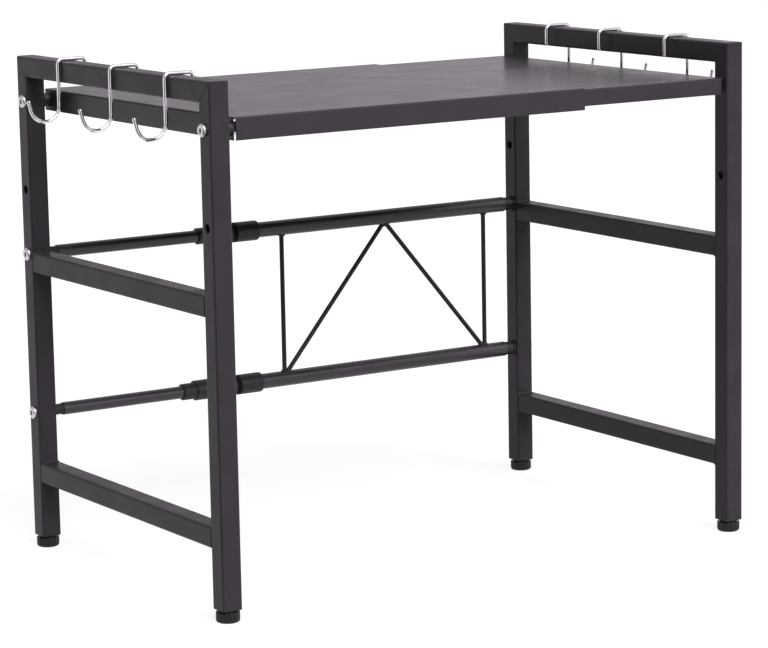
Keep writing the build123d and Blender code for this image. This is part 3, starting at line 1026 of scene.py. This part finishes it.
@dataclass
class Truss:
    """The wires welded between the thick rods, with the fillets of weld at their ends."""

    upper: Extent
    lower: Extent
    wire_radius: float = 2.25 * MM
    overrun: float = 9.0 * MM
    bite: float = 1.15 * MM
    foot_step: float = 4.2 * MM
    fillet_reach: float = 2.6 * MM
    fillet_spread: float = 1.5 * MM
    fillet_root: float = 0.97
    fillet_lumps: float = 0.25 * MM
    lump_waves: tuple[int, int] = (3, 5)
    head_phase: float = 2.0

    def seated(self, rings: Array, into: Array, surface: float) -> Array:
        """Rings round a wire, with what lies deeper in a rod's wall than the bite drawn back.

        Args:
            rings: The rings' points.
            into: The wire's direction, into the rod.
            surface: The height of the rod's surface where the wire meets it.

        Returns:
            The rings, whose deep points have moved along the wire to a level plane in the wall, so
            that the rod's bore stays free.
        """
        level = surface + math.copysign(self.bite, into[2])
        past = (rings[..., 2] - level) / into[2]
        return rings - np.clip(past, 0.0, None)[..., None] * into

    def wire(self, node: str, foot: Array, head: Array) -> None:
        """Builds one straight wire between the rods, with a bite into each.

        Args:
            node: The wire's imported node.
            foot: Where its middle line meets the lower rod's surface.
            head: Where its middle line meets the upper rod's surface.
        """
        along = unit(head - foot)
        rings = carry_circle(np.array([foot - self.overrun * along, head + self.overrun * along]),
                             self.wire_radius)
        rings = self.seated(self.seated(rings, along, head[2]), -along, foot[2])
        Shell().rod(rings).piece(f"{node}_wire", Finish.FRAME_COAT, Side.RIGHT.body, node)

    def fillet(self, shell: Shell, foot: Array, along: Array, seed: float) -> None:
        """Adds the weld round a wire's end.

        Its radius is the wire's plus (1 - t)^2 (fillet_spread + lumps), where t is the share of the
        fillet's reach and the lumps are two waves round the wire.

        Args:
            shell: The shell that the fillet goes into.
            foot: Where the wire's middle line meets the rod's surface.
            along: The wire's direction, away from the rod.
            seed: The lumps' phase.
        """
        share = np.linspace(0, 1, FOLD_STEPS + 2)
        angle = full_turn(WIRE_STEPS)
        first, second = self.lump_waves
        lumps = self.fillet_lumps * (np.sin(first * angle + seed) + np.sin(second * angle + 2 * seed)) / 2
        radius = self.wire_radius + (1 - share[:, None]) ** 2 * (self.fillet_spread + lumps)
        path = foot + np.concatenate([[-self.overrun], self.fillet_reach * share])[:, None] * along
        rings = carry_circle(path, np.vstack([self.fillet_root * radius[:1], radius]))
        shell.rod(self.seated(rings, -along, foot[2]))

    def build(self) -> None:
        """Builds the two uprights, the two leaning wires and the weld fillets."""
        low_z, high_z, y = self.lower.high[2], self.upper.low[2], self.upper.centre[1]
        uprights = {side: Extent.of(f"truss_{side.word}_upright").centre[0] for side in Side}
        apex_x = sum(uprights.values()) / 2
        welds = Shell()
        for side, x in uprights.items():
            runs = {"upright": (x, x),
                    "brace": (x - side.value * self.foot_step, apex_x + side.value * self.wire_radius)}
            for kind, (foot_x, head_x) in runs.items():
                foot, head = np.array([foot_x, y, low_z]), np.array([head_x, y, high_z])
                self.wire(f"truss_{side.word}_{kind}", foot, head)
                along = unit(head - foot)
                seed = side.value + len(kind)
                self.fillet(welds, foot, along, seed)
                self.fillet(welds, head, -along, seed + self.head_phase)
        welds.piece("truss_welds", Finish.FRAME_COAT, Side.RIGHT.body)


@dataclass
class Foot:
    """A levelling foot: a fluted pad with a ribbed neck, on a threaded stud."""

    side: Side
    end: End
    sole_round: float = 2.6 * MM
    top_edge: float = 0.6 * MM
    flutes: int = 12
    flute_radius: float = 2.0 * MM
    flute_out: float = 1.3 * MM
    pad_height: float = 9.2 * MM
    neck_radius: float = 8.0 * MM
    neck_ribs: int = 24
    rib_depth: float = 0.35 * MM
    stud_radius: float = 4.0 * MM
    stud_gap: float = 0.05 * MM
    stud_end: float = 0.8 * MM
    thread_pitch: float = 1.25 * MM
    thread_depth: float = 0.5 * MM
    steps_per_flute: int = 14
    rows_per_turn: int = 8

    def __post_init__(self) -> None:
        """Spells the foot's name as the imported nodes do, and counts its pad's angles."""
        self.name = f"{self.end.word}_{self.side.word}_foot"
        self.steps = self.flutes * self.steps_per_flute

    def stud(self) -> Extent:
        """Builds the stud with its thread.

        Returns:
            The stud's box.
        """
        node = f"{self.name}_stud"
        extent = Extent.of(node)
        low, high = extent.low[2], extent.high[2]
        rows = round((high - low) / self.thread_pitch * self.rows_per_turn)
        along = np.linspace(low, high - self.stud_end, rows)
        radius = thread(along, self.stud_radius, self.thread_pitch, self.thread_depth)
        tip = np.full((1, ROUND_STEPS), self.stud_radius - self.stud_end)
        rings = turn(np.append(along, high), np.vstack([radius, tip]), extent.centre, Axis.Z)
        Shell().rod(rings).piece(f"{node}_threaded", Finish.ZINC, node, node)
        return extent

    def fluted(self, radius: Array) -> Array:
        """Cuts the flutes out of round rows.

        At an angle a from a flute's middle, whose centre is c from the axis, the flute's near side
        is c cos(a) - sqrt(f^2 - c^2 sin^2(a)), where f is the flute's radius. A row is the smaller
        of that and its own radius.

        Args:
            radius: Each row's own radius.

        Returns:
            A radius for each row and angle.
        """
        a = from_nearest(self.flutes, self.steps)
        centre = radius.max() + self.flute_out
        room = self.flute_radius ** 2 - (centre * np.sin(a)) ** 2
        side = np.where(room > 0, centre * np.cos(a) - np.sqrt(np.maximum(room, 0)), np.inf)
        return np.minimum(radius[:, None], side)

    def pad(self, seat_z: float) -> None:
        """Builds the pad from the middle of its sole, over its flutes and neck, down to the stud's seat.

        Args:
            seat_z: The height of the stud's lower end.
        """
        node = f"{self.name}_pad"
        extent = Extent.of(node)
        outer, neck_top, edge = extent.size[0] / 2, extent.high[2], self.top_edge
        sole = arc((outer - self.sole_round, self.sole_round), self.sole_round, -math.pi / 2, 0,
                   2 * FOLD_STEPS)
        crown = arc((outer - edge, self.pad_height - edge), edge, 0, math.pi / 2, FOLD_STEPS)
        body = np.concatenate([sole, crown])
        ones = np.ones(self.steps)
        ribbed = self.neck_radius - self.rib_depth * (1 - np.cos(self.neck_ribs * full_turn(self.steps))) / 2
        bore = (self.stud_radius + self.stud_gap) * ones
        above = [(self.pad_height, ribbed), (neck_top - edge / 2, ribbed), (neck_top, ribbed - edge / 2),
                 (neck_top, bore), (seat_z, bore), (seat_z, 0 * ones)]
        along = np.concatenate([[0.0], body[:, 1], [z for z, _ in above]])
        radius = np.vstack([0 * ones, self.fluted(body[:, 0]), *[row for _, row in above]])
        shell = Shell().grid(turn(along, radius, extent.centre, Axis.Z, self.steps))
        shell.piece(f"{node}_moulded", Finish.GLOSS_PLASTIC, node, node)

    def build(self) -> None:
        """Builds the stud and the pad that it stands in."""
        self.pad(self.stud().low[2])


@dataclass
class Hook:
    """A bent wire hook over a top rail."""

    side: Side
    place: str
    wire: float = 3.5 * MM
    bend: float = 4.0 * MM
    short_leg: float = 19.0 * MM
    long_leg: float = 41.0 * MM
    curl_radius: float = 14.4 * MM
    curl_sweep: float = math.radians(165)
    tip: float = 9.5 * MM
    end_round: float = 0.6 * MM
    inner_width: float = 24.0 * MM

    def route(self, extent: Extent) -> Array:
        """The wire's middle line, from the short leg over the rail and down into the curl.

        The two top corners are arcs of the bend's radius. The curl is an arc that starts straight
        down at the long leg's foot, and the tip runs on along its last direction.

        Args:
            extent: The hook's box.

        Returns:
            The line's points, one in each row.
        """
        half = self.wire / 2
        inner = min(np.abs(extent.ends)) + half
        outer = inner + self.inner_width + self.wire
        top = extent.high[2] - half
        curl_z = top - self.long_leg
        corners = np.array([(inner, top - self.short_leg), (inner, top), (outer, top), (outer, curl_z)])
        legs = round_corners(corners, self.bend, 2 * FOLD_STEPS)
        last = math.pi + self.curl_sweep
        curl = arc((outer + self.curl_radius, curl_z), self.curl_radius, math.pi, last, 6 * FOLD_STEPS)
        ahead = np.array([-math.sin(last), math.cos(last)])
        line = np.concatenate([legs, curl[1:], [curl[-1] + self.tip * ahead]])
        y = np.full(len(line), extent.centre[1])
        return np.column_stack([self.side.value * line[:, 0], y, line[:, 1]])

    def build(self) -> None:
        """Builds the hook as a circle carried along its route, drawn in where its ends are rounded.

        Near an end the radius follows a quarter circle of the end's rounding.
        """
        node = f"{self.side.word}_{self.place}_hook"
        path = self.route(Extent.of(node))
        quarter = np.linspace(0, math.pi / 2, FOLD_STEPS)
        forward = self.end_round * (1 - np.cos(quarter))[:, None]
        back = self.end_round * (1 - np.sin(quarter))
        starts, ends = (path[k] + unit(path[n] - path[k]) * forward for k, n in ((0, 1), (-1, -2)))
        path = np.concatenate([starts, path[1:-1], ends[::-1]])
        radius = np.full(len(path), self.wire / 2)
        radius[:FOLD_STEPS] -= back
        radius[-FOLD_STEPS:] -= back[::-1]
        Shell().rod(carry_circle(path, radius)).piece(f"{node}_wire", Finish.CHROME, node, node)


# Shader nodes

class Sheet:
    """Places and joins nodes in a node tree."""

    def __init__(self, tree: bpy.types.NodeTree) -> None:
        """Starts on an empty tree."""
        self.tree = tree
        self.tree.nodes.clear()

    def feed(self, socket: Socket, value: object) -> None:
        """Joins an output to a socket, or sets the socket to a plain value.

        Args:
            socket: The socket to feed.
            value: The output or the plain value.
        """
        if isinstance(value, Socket):
            self.tree.links.new(value, socket)
        else:
            socket.default_value = value

    def fill(self, node: Node, values: dict[str, object]) -> None:
        """Feeds a node's named inputs."""
        for name, value in values.items():
            self.feed(node.inputs[name], value)

    def add(self, kind: str, *terms: object, values: dict[str, object] | None = None,
            **settings: object) -> Node:
        """Adds a node.

        Args:
            kind: The node's type, without the ShaderNode in front.
            terms: What its first inputs are set to or joined to, in order.
            values: What its named inputs are set to or joined to.
            settings: The node's own properties.

        Returns:
            The new node.
        """
        node = self.tree.nodes.new(f"ShaderNode{kind}")
        for name, setting in settings.items():
            setattr(node, name, setting)
        for socket, term in zip(node.inputs, terms):
            self.feed(socket, term)
        self.fill(node, values or {})
        return node

    def maths(self, operation: str, *terms: object) -> Socket:
        """A maths node's result, with its terms in order."""
        return self.add("Math", *terms, operation=operation).outputs[0]

    def measure(self, operation: str, *vectors: object) -> Socket:
        """A number that a vector maths node finds, with its vectors in order."""
        return self.add("VectorMath", *vectors, operation=operation).outputs["Value"]

    def between(self, value: object, start: Span, result: Span = (0.0, 1.0)) -> Socket:
        """A value carried smoothly from one range to another, and held at the range's ends."""
        ranges = {"Value": value, "From Min": start[0], "From Max": start[1], "To Min": result[0],
                  "To Max": result[1]}
        return self.add("MapRange", values=ranges, interpolation_type="SMOOTHSTEP").outputs["Result"]

    def mixed(self, share: object, first: object, second: object) -> Socket:
        """Mixes two colours.

        Args:
            share: The second colour's share.
            first: The first colour, as a socket or three numbers.
            second: The second colour, likewise.

        Returns:
            The socket of the mix.
        """
        node = self.add("Mix", share, data_type="RGBA")
        sockets = [socket for socket in node.inputs if socket.type == "RGBA"]
        for socket, colour in zip(sockets, (first, second)):
            self.feed(socket, colour if isinstance(colour, Socket) else (*colour, 1.0))
        return next(socket for socket in node.outputs if socket.type == "RGBA")

    def noise(self, size: object, detail: float) -> Socket:
        """A noise on the object's own coordinates, whose lumps are about as large as the size."""
        place, scale = self.add("TexCoord").outputs["Object"], self.maths("DIVIDE", 1.0, size)
        return self.add("TexNoise", values={"Vector": place, "Scale": scale, "Detail": detail}).outputs["Fac"]

    def bump(self, height: Socket, depth: float) -> Socket:
        """A normal tilted by a height whose full range is as deep as the depth."""
        bump = self.add("Bump", values={"Height": height, "Distance": depth, "Strength": 1.0})
        return bump.outputs["Normal"]


class Group(Sheet):
    """A shader node group with number sockets, which several materials share."""

    def __init__(self, name: str, inputs: dict[str, float]) -> None:
        """Starts the group.

        Args:
            name: The group's name.
            inputs: Each input with its first value.
        """
        super().__init__(bpy.data.node_groups.new(name, "ShaderNodeTree"))
        for socket, value in inputs.items():
            self.socket(socket, "INPUT").default_value = value
        self.given = self.tree.nodes.new("NodeGroupInput").outputs

    def socket(self, name: str, way: str) -> bpy.types.NodeTreeInterfaceSocket:
        """Adds a number socket to the group's face."""
        return self.tree.interface.new_socket(name, in_out=way, socket_type="NodeSocketFloat")

    def give(self, outputs: dict[str, Socket]) -> None:
        """Ends the group with its named outputs.

        Args:
            outputs: Each output with the socket that feeds it.
        """
        for name in outputs:
            self.socket(name, "OUTPUT")
        self.fill(self.tree.nodes.new("NodeGroupOutput"), outputs)


BEVEL_SAMPLES = 4
MOTTLE_RANGE = (0.32, 0.68)
EDGE_RANGE = (0.02, 0.3)
WORN_PATCH_RANGE = (0.42, 0.62)
UPWARD_RANGE = (0.6, 0.95)
DUST_PATCH_RANGE = (0.35, 0.75)
CLOUD_RANGE = (0.3, 0.7)


def build_surface_grain() -> None:
    """Builds the grain that coats and mouldings share: fine lumps over slow waves, and a mottle."""
    group = Group("surface grain", {"Grain Size": 0.6 * MM, "Wave Size": 6.0 * MM, "Wave Share": 0.5,
                                    "Mottle Size": 30.0 * MM})
    fine = group.noise(group.given["Grain Size"], detail=3.0)
    slow = group.noise(group.given["Wave Size"], detail=1.0)
    waves = group.maths("MULTIPLY_ADD", group.maths("SUBTRACT", slow, fine), group.given["Wave Share"], fine)
    mottle = group.noise(group.given["Mottle Size"], detail=4.0)
    group.give({"Height": waves, "Mottle": group.between(mottle, MOTTLE_RANGE)})


def build_edge_wear() -> None:
    """Builds the wear along edges: where a normal rounded over the reach leaves the true normal,
    broken up by patches."""
    group = Group("edge wear", {"Reach": 0.8 * MM, "Patch Size": 8.0 * MM})
    bevel = group.add("Bevel", values={"Radius": group.given["Reach"]}, samples=BEVEL_SAMPLES)
    normal = group.add("NewGeometry").outputs["Normal"]
    same = group.measure("DOT_PRODUCT", bevel.outputs["Normal"], normal)
    edge = group.between(group.maths("SUBTRACT", 1.0, same), EDGE_RANGE)
    patches = group.between(group.noise(group.given["Patch Size"], detail=4.0), WORN_PATCH_RANGE)
    group.give({"Mask": group.maths("MULTIPLY", edge, patches)})


def build_settled_dust() -> None:
    """Builds the dust that settles on what faces up, in soft patches."""
    group = Group("settled dust", {"Patch Size": 50.0 * MM})
    upward = group.add("SeparateXYZ", group.add("NewGeometry").outputs["Normal"]).outputs["Z"]
    patches = group.between(group.noise(group.given["Patch Size"], detail=5.0), DUST_PATCH_RANGE)
    group.give({"Mask": group.maths("MULTIPLY", group.between(upward, UPWARD_RANGE), patches)})


def build_plated_skin() -> None:
    """Builds the fine pits and the cloudy tone of plated metal."""
    group = Group("plated skin", {"Pit Size": 0.4 * MM, "Cloud Size": 4.0 * MM})
    cloud = group.noise(group.given["Cloud Size"], detail=3.0)
    group.give({"Height": group.noise(group.given["Pit Size"], detail=3.0),
                "Cloud": group.between(cloud, CLOUD_RANGE)})


# Finishes

DUST_COLOUR: Colour = (0.5, 0.48, 0.45)


def scaled(colour: Colour, factor: float) -> Colour:
    """A colour times a factor, held at 1."""
    return tuple(min(1.0, value * factor) for value in colour)


def dressed(material: bpy.types.Material | bpy.types.World) -> Sheet:
    """Gives a material or a world its node tree, and starts its sheet."""
    material.use_nodes = True
    return Sheet(material.node_tree)


def effect(sheet: Sheet, name: str, **values: float) -> Node:
    """Places a shared effect, with its inputs' names written small and with low lines for spaces."""
    inputs = {socket.replace("_", " ").title(): value for socket, value in values.items()}
    return sheet.add("Group", node_tree=bpy.data.node_groups[name], values=inputs)


@dataclass(frozen=True)
class Recipe:
    """What every finish has: a colour, and a roughness that swings about its middle."""

    colour: Colour
    roughness: float

    def inputs(self, sheet: Sheet) -> dict[str, object]:
        """What the Principled shader's inputs are set to or joined to."""
        return {}

    def make(self, finish: Finish) -> None:
        """Builds a finish's material.

        Args:
            finish: The finish, whose look names the material.
        """
        sheet = dressed(bpy.data.materials.new(finish.look))
        shader = sheet.add("BsdfPrincipled", values=self.inputs(sheet))
        sheet.add("OutputMaterial", shader.outputs["BSDF"])


@dataclass(frozen=True)
class Coat(Recipe):
    """A satin coat or a moulded plastic: grain, mottle, edges worn shinier and a breath of dust."""

    roughness_swing: float = 0.05
    specular: float = 0.5
    grain_size: float = 0.5 * MM
    grain_depth: float = 0.03 * MM
    wave_size: float = 7.0 * MM
    wave_share: float = 0.6
    mottle: float = 0.18
    edge_tone: float = 1.7
    edge_share: float = 0.5
    edge_polish: float = 0.08
    dust: float = 0.015

    def inputs(self, sheet: Sheet) -> dict[str, object]:
        """Builds the coat's patterns.

        Args:
            sheet: The material's sheet.

        Returns:
            The Principled shader's inputs.
        """
        grain = effect(sheet, "surface grain", grain_size=self.grain_size, wave_size=self.wave_size,
                       wave_share=self.wave_share)
        worn = effect(sheet, "edge wear").outputs["Mask"]
        settled = effect(sheet, "settled dust").outputs["Mask"]
        mottle = grain.outputs["Mottle"]
        tone = sheet.mixed(mottle, scaled(self.colour, 1 - self.mottle), scaled(self.colour, 1 + self.mottle))
        tone = sheet.mixed(sheet.maths("MULTIPLY", worn, self.edge_share), tone,
                           scaled(self.colour, self.edge_tone))
        tone = sheet.mixed(sheet.maths("MULTIPLY", settled, self.dust), tone, DUST_COLOUR)
        rough = sheet.between(mottle, (0.0, 1.0), (self.roughness - self.roughness_swing,
                                                   self.roughness + self.roughness_swing))
        return {"Base Color": tone, "Roughness": sheet.maths("MULTIPLY_ADD", worn, -self.edge_polish, rough),
                "Specular IOR Level": self.specular,
                "Normal": sheet.bump(grain.outputs["Height"], self.grain_depth)}


@dataclass(frozen=True)
class Plating(Recipe):
    """A plated metal: a cloudy tone, fine pits and edges worn a little brighter."""

    cloud: float = 0.08
    roughness_swing: float = 0.04
    pit_size: float = 0.35 * MM
    pit_depth: float = 0.004 * MM
    edge_tone: float = 1.1

    def inputs(self, sheet: Sheet) -> dict[str, object]:
        """Builds the plating's patterns.

        Args:
            sheet: The material's sheet.

        Returns:
            The Principled shader's inputs.
        """
        skin = effect(sheet, "plated skin", pit_size=self.pit_size)
        worn = effect(sheet, "edge wear").outputs["Mask"]
        cloud = skin.outputs["Cloud"]
        tone = sheet.mixed(cloud, scaled(self.colour, 1 - self.cloud), self.colour)
        rough = sheet.between(cloud, (0.0, 1.0), (self.roughness + self.roughness_swing,
                                                  self.roughness - self.roughness_swing))
        return {"Base Color": sheet.mixed(worn, tone, scaled(self.colour, self.edge_tone)),
                "Roughness": rough, "Metallic": 1.0,
                "Normal": sheet.bump(skin.outputs["Height"], self.pit_depth)}


RECIPES: dict[Finish, Recipe] = {
    Finish.FRAME_COAT: Coat((0.032, 0.0288, 0.0335), roughness=0.36, specular=0.16, mottle=0.10,
                            grain_depth=0.015 * MM),
    # Painted light: a touch lighter than the frame coat, so that rods in the deck's shade read brighter. Its
    # higher specular is real gloss.
    Finish.ROD_COAT: Coat((0.034, 0.0305, 0.0355), roughness=0.34, mottle=0.10, grain_depth=0.015 * MM),
    Finish.DECK_COAT: Coat((0.035, 0.0320, 0.0370), roughness=0.27, roughness_swing=0.02, specular=0.18,
                           grain_size=0.6 * MM, grain_depth=0.006 * MM, wave_size=18.0 * MM,
                           wave_share=0.2, mottle=0.04),
    Finish.CHROME: Plating((0.78, 0.78, 0.79), roughness=0.15, cloud=0.04, roughness_swing=0.02),
    Finish.ZINC: Plating((0.64, 0.64, 0.65), roughness=0.30, cloud=0.15),
    Finish.MATTE_PLASTIC: Coat((0.016, 0.015, 0.017), roughness=0.50, specular=0.35, grain_size=0.3 * MM,
                               grain_depth=0.02 * MM, wave_share=0.2, edge_tone=1.4),
    Finish.GLOSS_PLASTIC: Coat((0.013, 0.0115, 0.0135), roughness=0.28, specular=0.22, grain_size=0.4 * MM,
                               grain_depth=0.008 * MM, wave_share=0.5, edge_tone=1.3),
    # The groove band: near-black, only there to make the sleeves' grooves read darker.
    Finish.RUBBER: Coat((0.005, 0.0045, 0.0055), roughness=0.70, specular=0.10, grain_size=0.3 * MM,
                        wave_share=0.2, edge_tone=1.3),
}


def make_finishes() -> None:
    """Builds the shared effects and then every finish."""
    build_surface_grain()
    build_edge_wear()
    build_settled_dust()
    build_plated_skin()
    for finish, recipe in RECIPES.items():
        recipe.make(finish)
        log.info("finish %s", finish.look)


# Studio

@dataclass(frozen=True)
class Lamp:
    """A soft, distant lamp: where it stands, how strong it is and how wide it looks."""

    name: str
    azimuth: float
    elevation: float
    strength: float
    width: float

    def hang(self, colour: Colour) -> None:
        """Hangs the lamp: its direction is its azimuth from -Y towards +X and its elevation.

        Args:
            colour: The light's colour.
        """
        light = bpy.data.lights.new(self.name, "SUN")
        light.color = colour
        light.energy = self.strength
        light.angle = math.radians(self.width)
        about_z = Matrix.Rotation(math.radians(self.azimuth), 4, "Z")
        about_x = Matrix.Rotation(math.radians(90 - self.elevation), 4, "X")
        add_object(self.name, light).matrix_world = about_z @ about_x


@dataclass(frozen=True)
class Viewpoint:
    """The camera, found by fitting about 200 edges of the shelf to its photograph."""

    place: tuple[float, float, float] = (-1.5449, -2.4053, 0.6967)
    yaw: float = 32.695
    pitch: float = -9.734
    roll: float = -1.076
    lens: float = 144.61
    sensor: float = 36.0
    far: float = 200.0

    def set_up(self) -> None:
        """Creates the camera.

        It looks along (sin yaw cos pitch, cos yaw cos pitch, sin pitch), and the roll turns its right
        and its up about that line.
        """
        yaw, pitch, roll = (math.radians(value) for value in (self.yaw, self.pitch, self.roll))
        ahead = np.array([math.sin(yaw) * math.cos(pitch), math.cos(yaw) * math.cos(pitch), math.sin(pitch)])
        level = np.array([math.cos(yaw), -math.sin(yaw), 0.0])
        over = np.cross(level, ahead)
        right = level * math.cos(roll) + over * math.sin(roll)
        up = over * math.cos(roll) - level * math.sin(roll)
        camera = bpy.data.cameras.new("camera")
        camera.lens, camera.sensor_width, camera.sensor_fit = self.lens, self.sensor, "HORIZONTAL"
        camera.clip_end = self.far
        turned = Matrix(np.column_stack([right, up, -ahead]).tolist()).to_4x4()
        holder = add_object("camera", camera)
        holder.matrix_world = Matrix.Translation(self.place) @ turned
        bpy.context.scene.camera = holder


@dataclass(frozen=True)
class Studio:
    """A white studio: a pale floor, a white surround and one soft lamp.

    In reflections the floor and the surround are tinted, and darker in a soft sector at the front.
    """

    floor_half: float = 60.0
    tint: Colour = (1.0, 0.945, 1.005)
    floor_tone: float = 0.20
    floor_fill: float = 0.86
    surround: float = 0.38
    wall: float = 0.96
    ceiling: float = 0.75
    ceiling_range: Span = (0.2, 0.65)
    front_azimuth: float = -60.0
    front_shade: float = 0.95
    front_range: Span = (0.80, 0.97)
    front_start: Span = (0.40, 0.55)
    back_azimuth: float = 190.0
    back_shade: float = 0.50
    back_range: Span = (0.5, 0.85)
    lamp: Lamp = Lamp("key lamp", azimuth=3.0, elevation=45.0, strength=4.0, width=50.0)

    @staticmethod
    def cosine(sheet: Sheet, way: Socket, azimuth: float) -> Socket:
        """The dot of a way with the level direction at an azimuth in degrees, from -Y towards +X."""
        angle = math.radians(azimuth)
        return sheet.measure("DOT_PRODUCT", way, (math.sin(angle), -math.cos(angle), 0.0))

    def front_sector(self, sheet: Sheet, way: Socket) -> Socket:
        """The front sector's shade at a place on the floor or in a direction of the surround.

        The shade rises from 0 to front_shade while the cosine of the angle between the way and the
        sector's middle rises over front_range.

        Args:
            sheet: The node tree to build in.
            way: The socket of the place or direction.

        Returns:
            The socket of the shade.
        """
        straight = sheet.add("VectorMath", way, operation="NORMALIZE").outputs[0]
        cosine = self.cosine(sheet, straight, self.front_azimuth)
        return sheet.between(cosine, self.front_range, (0.0, self.front_shade))

    def floor(self) -> None:
        """Lays the floor.

        It glows white to the camera and through clear things and keeps its shadows. In reflections it
        glows in the tint, and turns dark in the front sector from front_start outwards. From below,
        the camera sees through it.
        """
        reach = self.floor_half
        corners = [(-reach, -reach, 0), (reach, -reach, 0), (reach, reach, 0), (-reach, reach, 0)]
        mesh = bpy.data.meshes.new("floor")
        mesh.from_pydata(corners, [], [(0, 1, 2, 3)])
        material = bpy.data.materials.new("studio floor")
        sheet = dressed(material)
        rays = sheet.add("LightPath").outputs
        clear = sheet.maths("MAXIMUM", rays["Is Camera Ray"], rays["Is Transmission Ray"])
        seen = sheet.maths("MAXIMUM", clear, rays["Is Glossy Ray"])
        matte, black = (sheet.add("BsdfDiffuse", (*tone, 1.0)).outputs[0]
                        for tone in ((self.floor_tone,) * 3, BLACK))
        glow = sheet.add("Emission", sheet.mixed(clear, self.tint, WHITE),
                         sheet.maths("MULTIPLY", seen, self.floor_fill)).outputs[0]
        lit = sheet.add("AddShader", matte, glow).outputs[0]
        place = sheet.add("TexCoord").outputs["Object"]
        outwards = sheet.between(sheet.measure("LENGTH", place), self.front_start)
        shade = sheet.maths("MULTIPLY", self.front_sector(sheet, place), outwards)
        mirrored = sheet.add("MixShader", sheet.maths("MULTIPLY", shade, rays["Is Glossy Ray"]), lit, black)
        below = sheet.maths("MULTIPLY", sheet.add("NewGeometry").outputs["Backfacing"], rays["Is Camera Ray"])
        both = sheet.add("MixShader", below, mirrored.outputs[0], sheet.add("BsdfTransparent").outputs[0])
        sheet.add("OutputMaterial", both.outputs[0])
        mesh.materials.append(material)
        floor = add_object("floor", mesh)

    def world(self) -> None:
        """Sets the surround.

        It is plain white to the camera and through clear things, and dimmer where it lights. In
        reflections it has walls and a ceiling of their own tones, with the front sector's shade and a
        lighter one at the back.
        """
        world = bpy.data.worlds.new("studio")
        bpy.context.scene.world = world
        sheet = dressed(world)
        rays = sheet.add("LightPath").outputs
        way = sheet.add("TexCoord").outputs["Generated"]
        back = sheet.between(self.cosine(sheet, way, self.back_azimuth), self.back_range,
                             (1.0, 1.0 - self.back_shade))
        front = sheet.maths("SUBTRACT", 1.0, self.front_sector(sheet, way))
        walls = sheet.maths("MULTIPLY", sheet.maths("MULTIPLY", front, back), self.wall)
        height = sheet.between(sheet.add("SeparateXYZ", way).outputs["Z"], self.ceiling_range)
        glossy = sheet.maths("MULTIPLY_ADD", height, sheet.maths("SUBTRACT", self.ceiling, walls), walls)
        lighting = sheet.maths("MULTIPLY_ADD", rays["Is Glossy Ray"],
                               sheet.maths("SUBTRACT", glossy, self.surround), self.surround)
        clear = sheet.maths("MAXIMUM", rays["Is Camera Ray"], rays["Is Transmission Ray"])
        strength = sheet.maths("MULTIPLY_ADD", clear, sheet.maths("SUBTRACT", 1.0, lighting), lighting)
        background = sheet.add("Background", sheet.mixed(clear, self.tint, WHITE), strength)
        sheet.add("OutputWorld", background.outputs[0])

    def set_up(self) -> None:
        """Lays the floor, sets the surround and hangs the lamp."""
        self.floor()
        self.world()
        self.lamp.hang(self.tint)


HOOK_PLACES = ("front", "middle", "rear")
LIPS = {Side.LEFT: 8.0 * MM, Side.RIGHT: 5.0 * MM}


def main() -> None:
    """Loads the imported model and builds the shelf, one sub-assembly after another."""
    logging.basicConfig(level=logging.INFO, format="%(message)s")
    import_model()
    bpy.context.scene.view_settings.view_transform = "Standard"
    Viewpoint().set_up()
    Studio().set_up()
    make_finishes()
    for side in Side:
        SideFrame(side).build()
        DeckPanel(side, LIPS[side]).build()
        Fasteners(side, RoundHeadScrew()).build()
        for end in End:
            Foot(side, end).build()
        for place in HOOK_PLACES:
            Hook(side, place).build()
    upper, lower = RearRods().build()
    Truss(upper, lower).build()


if __name__ == "__main__":
    main()
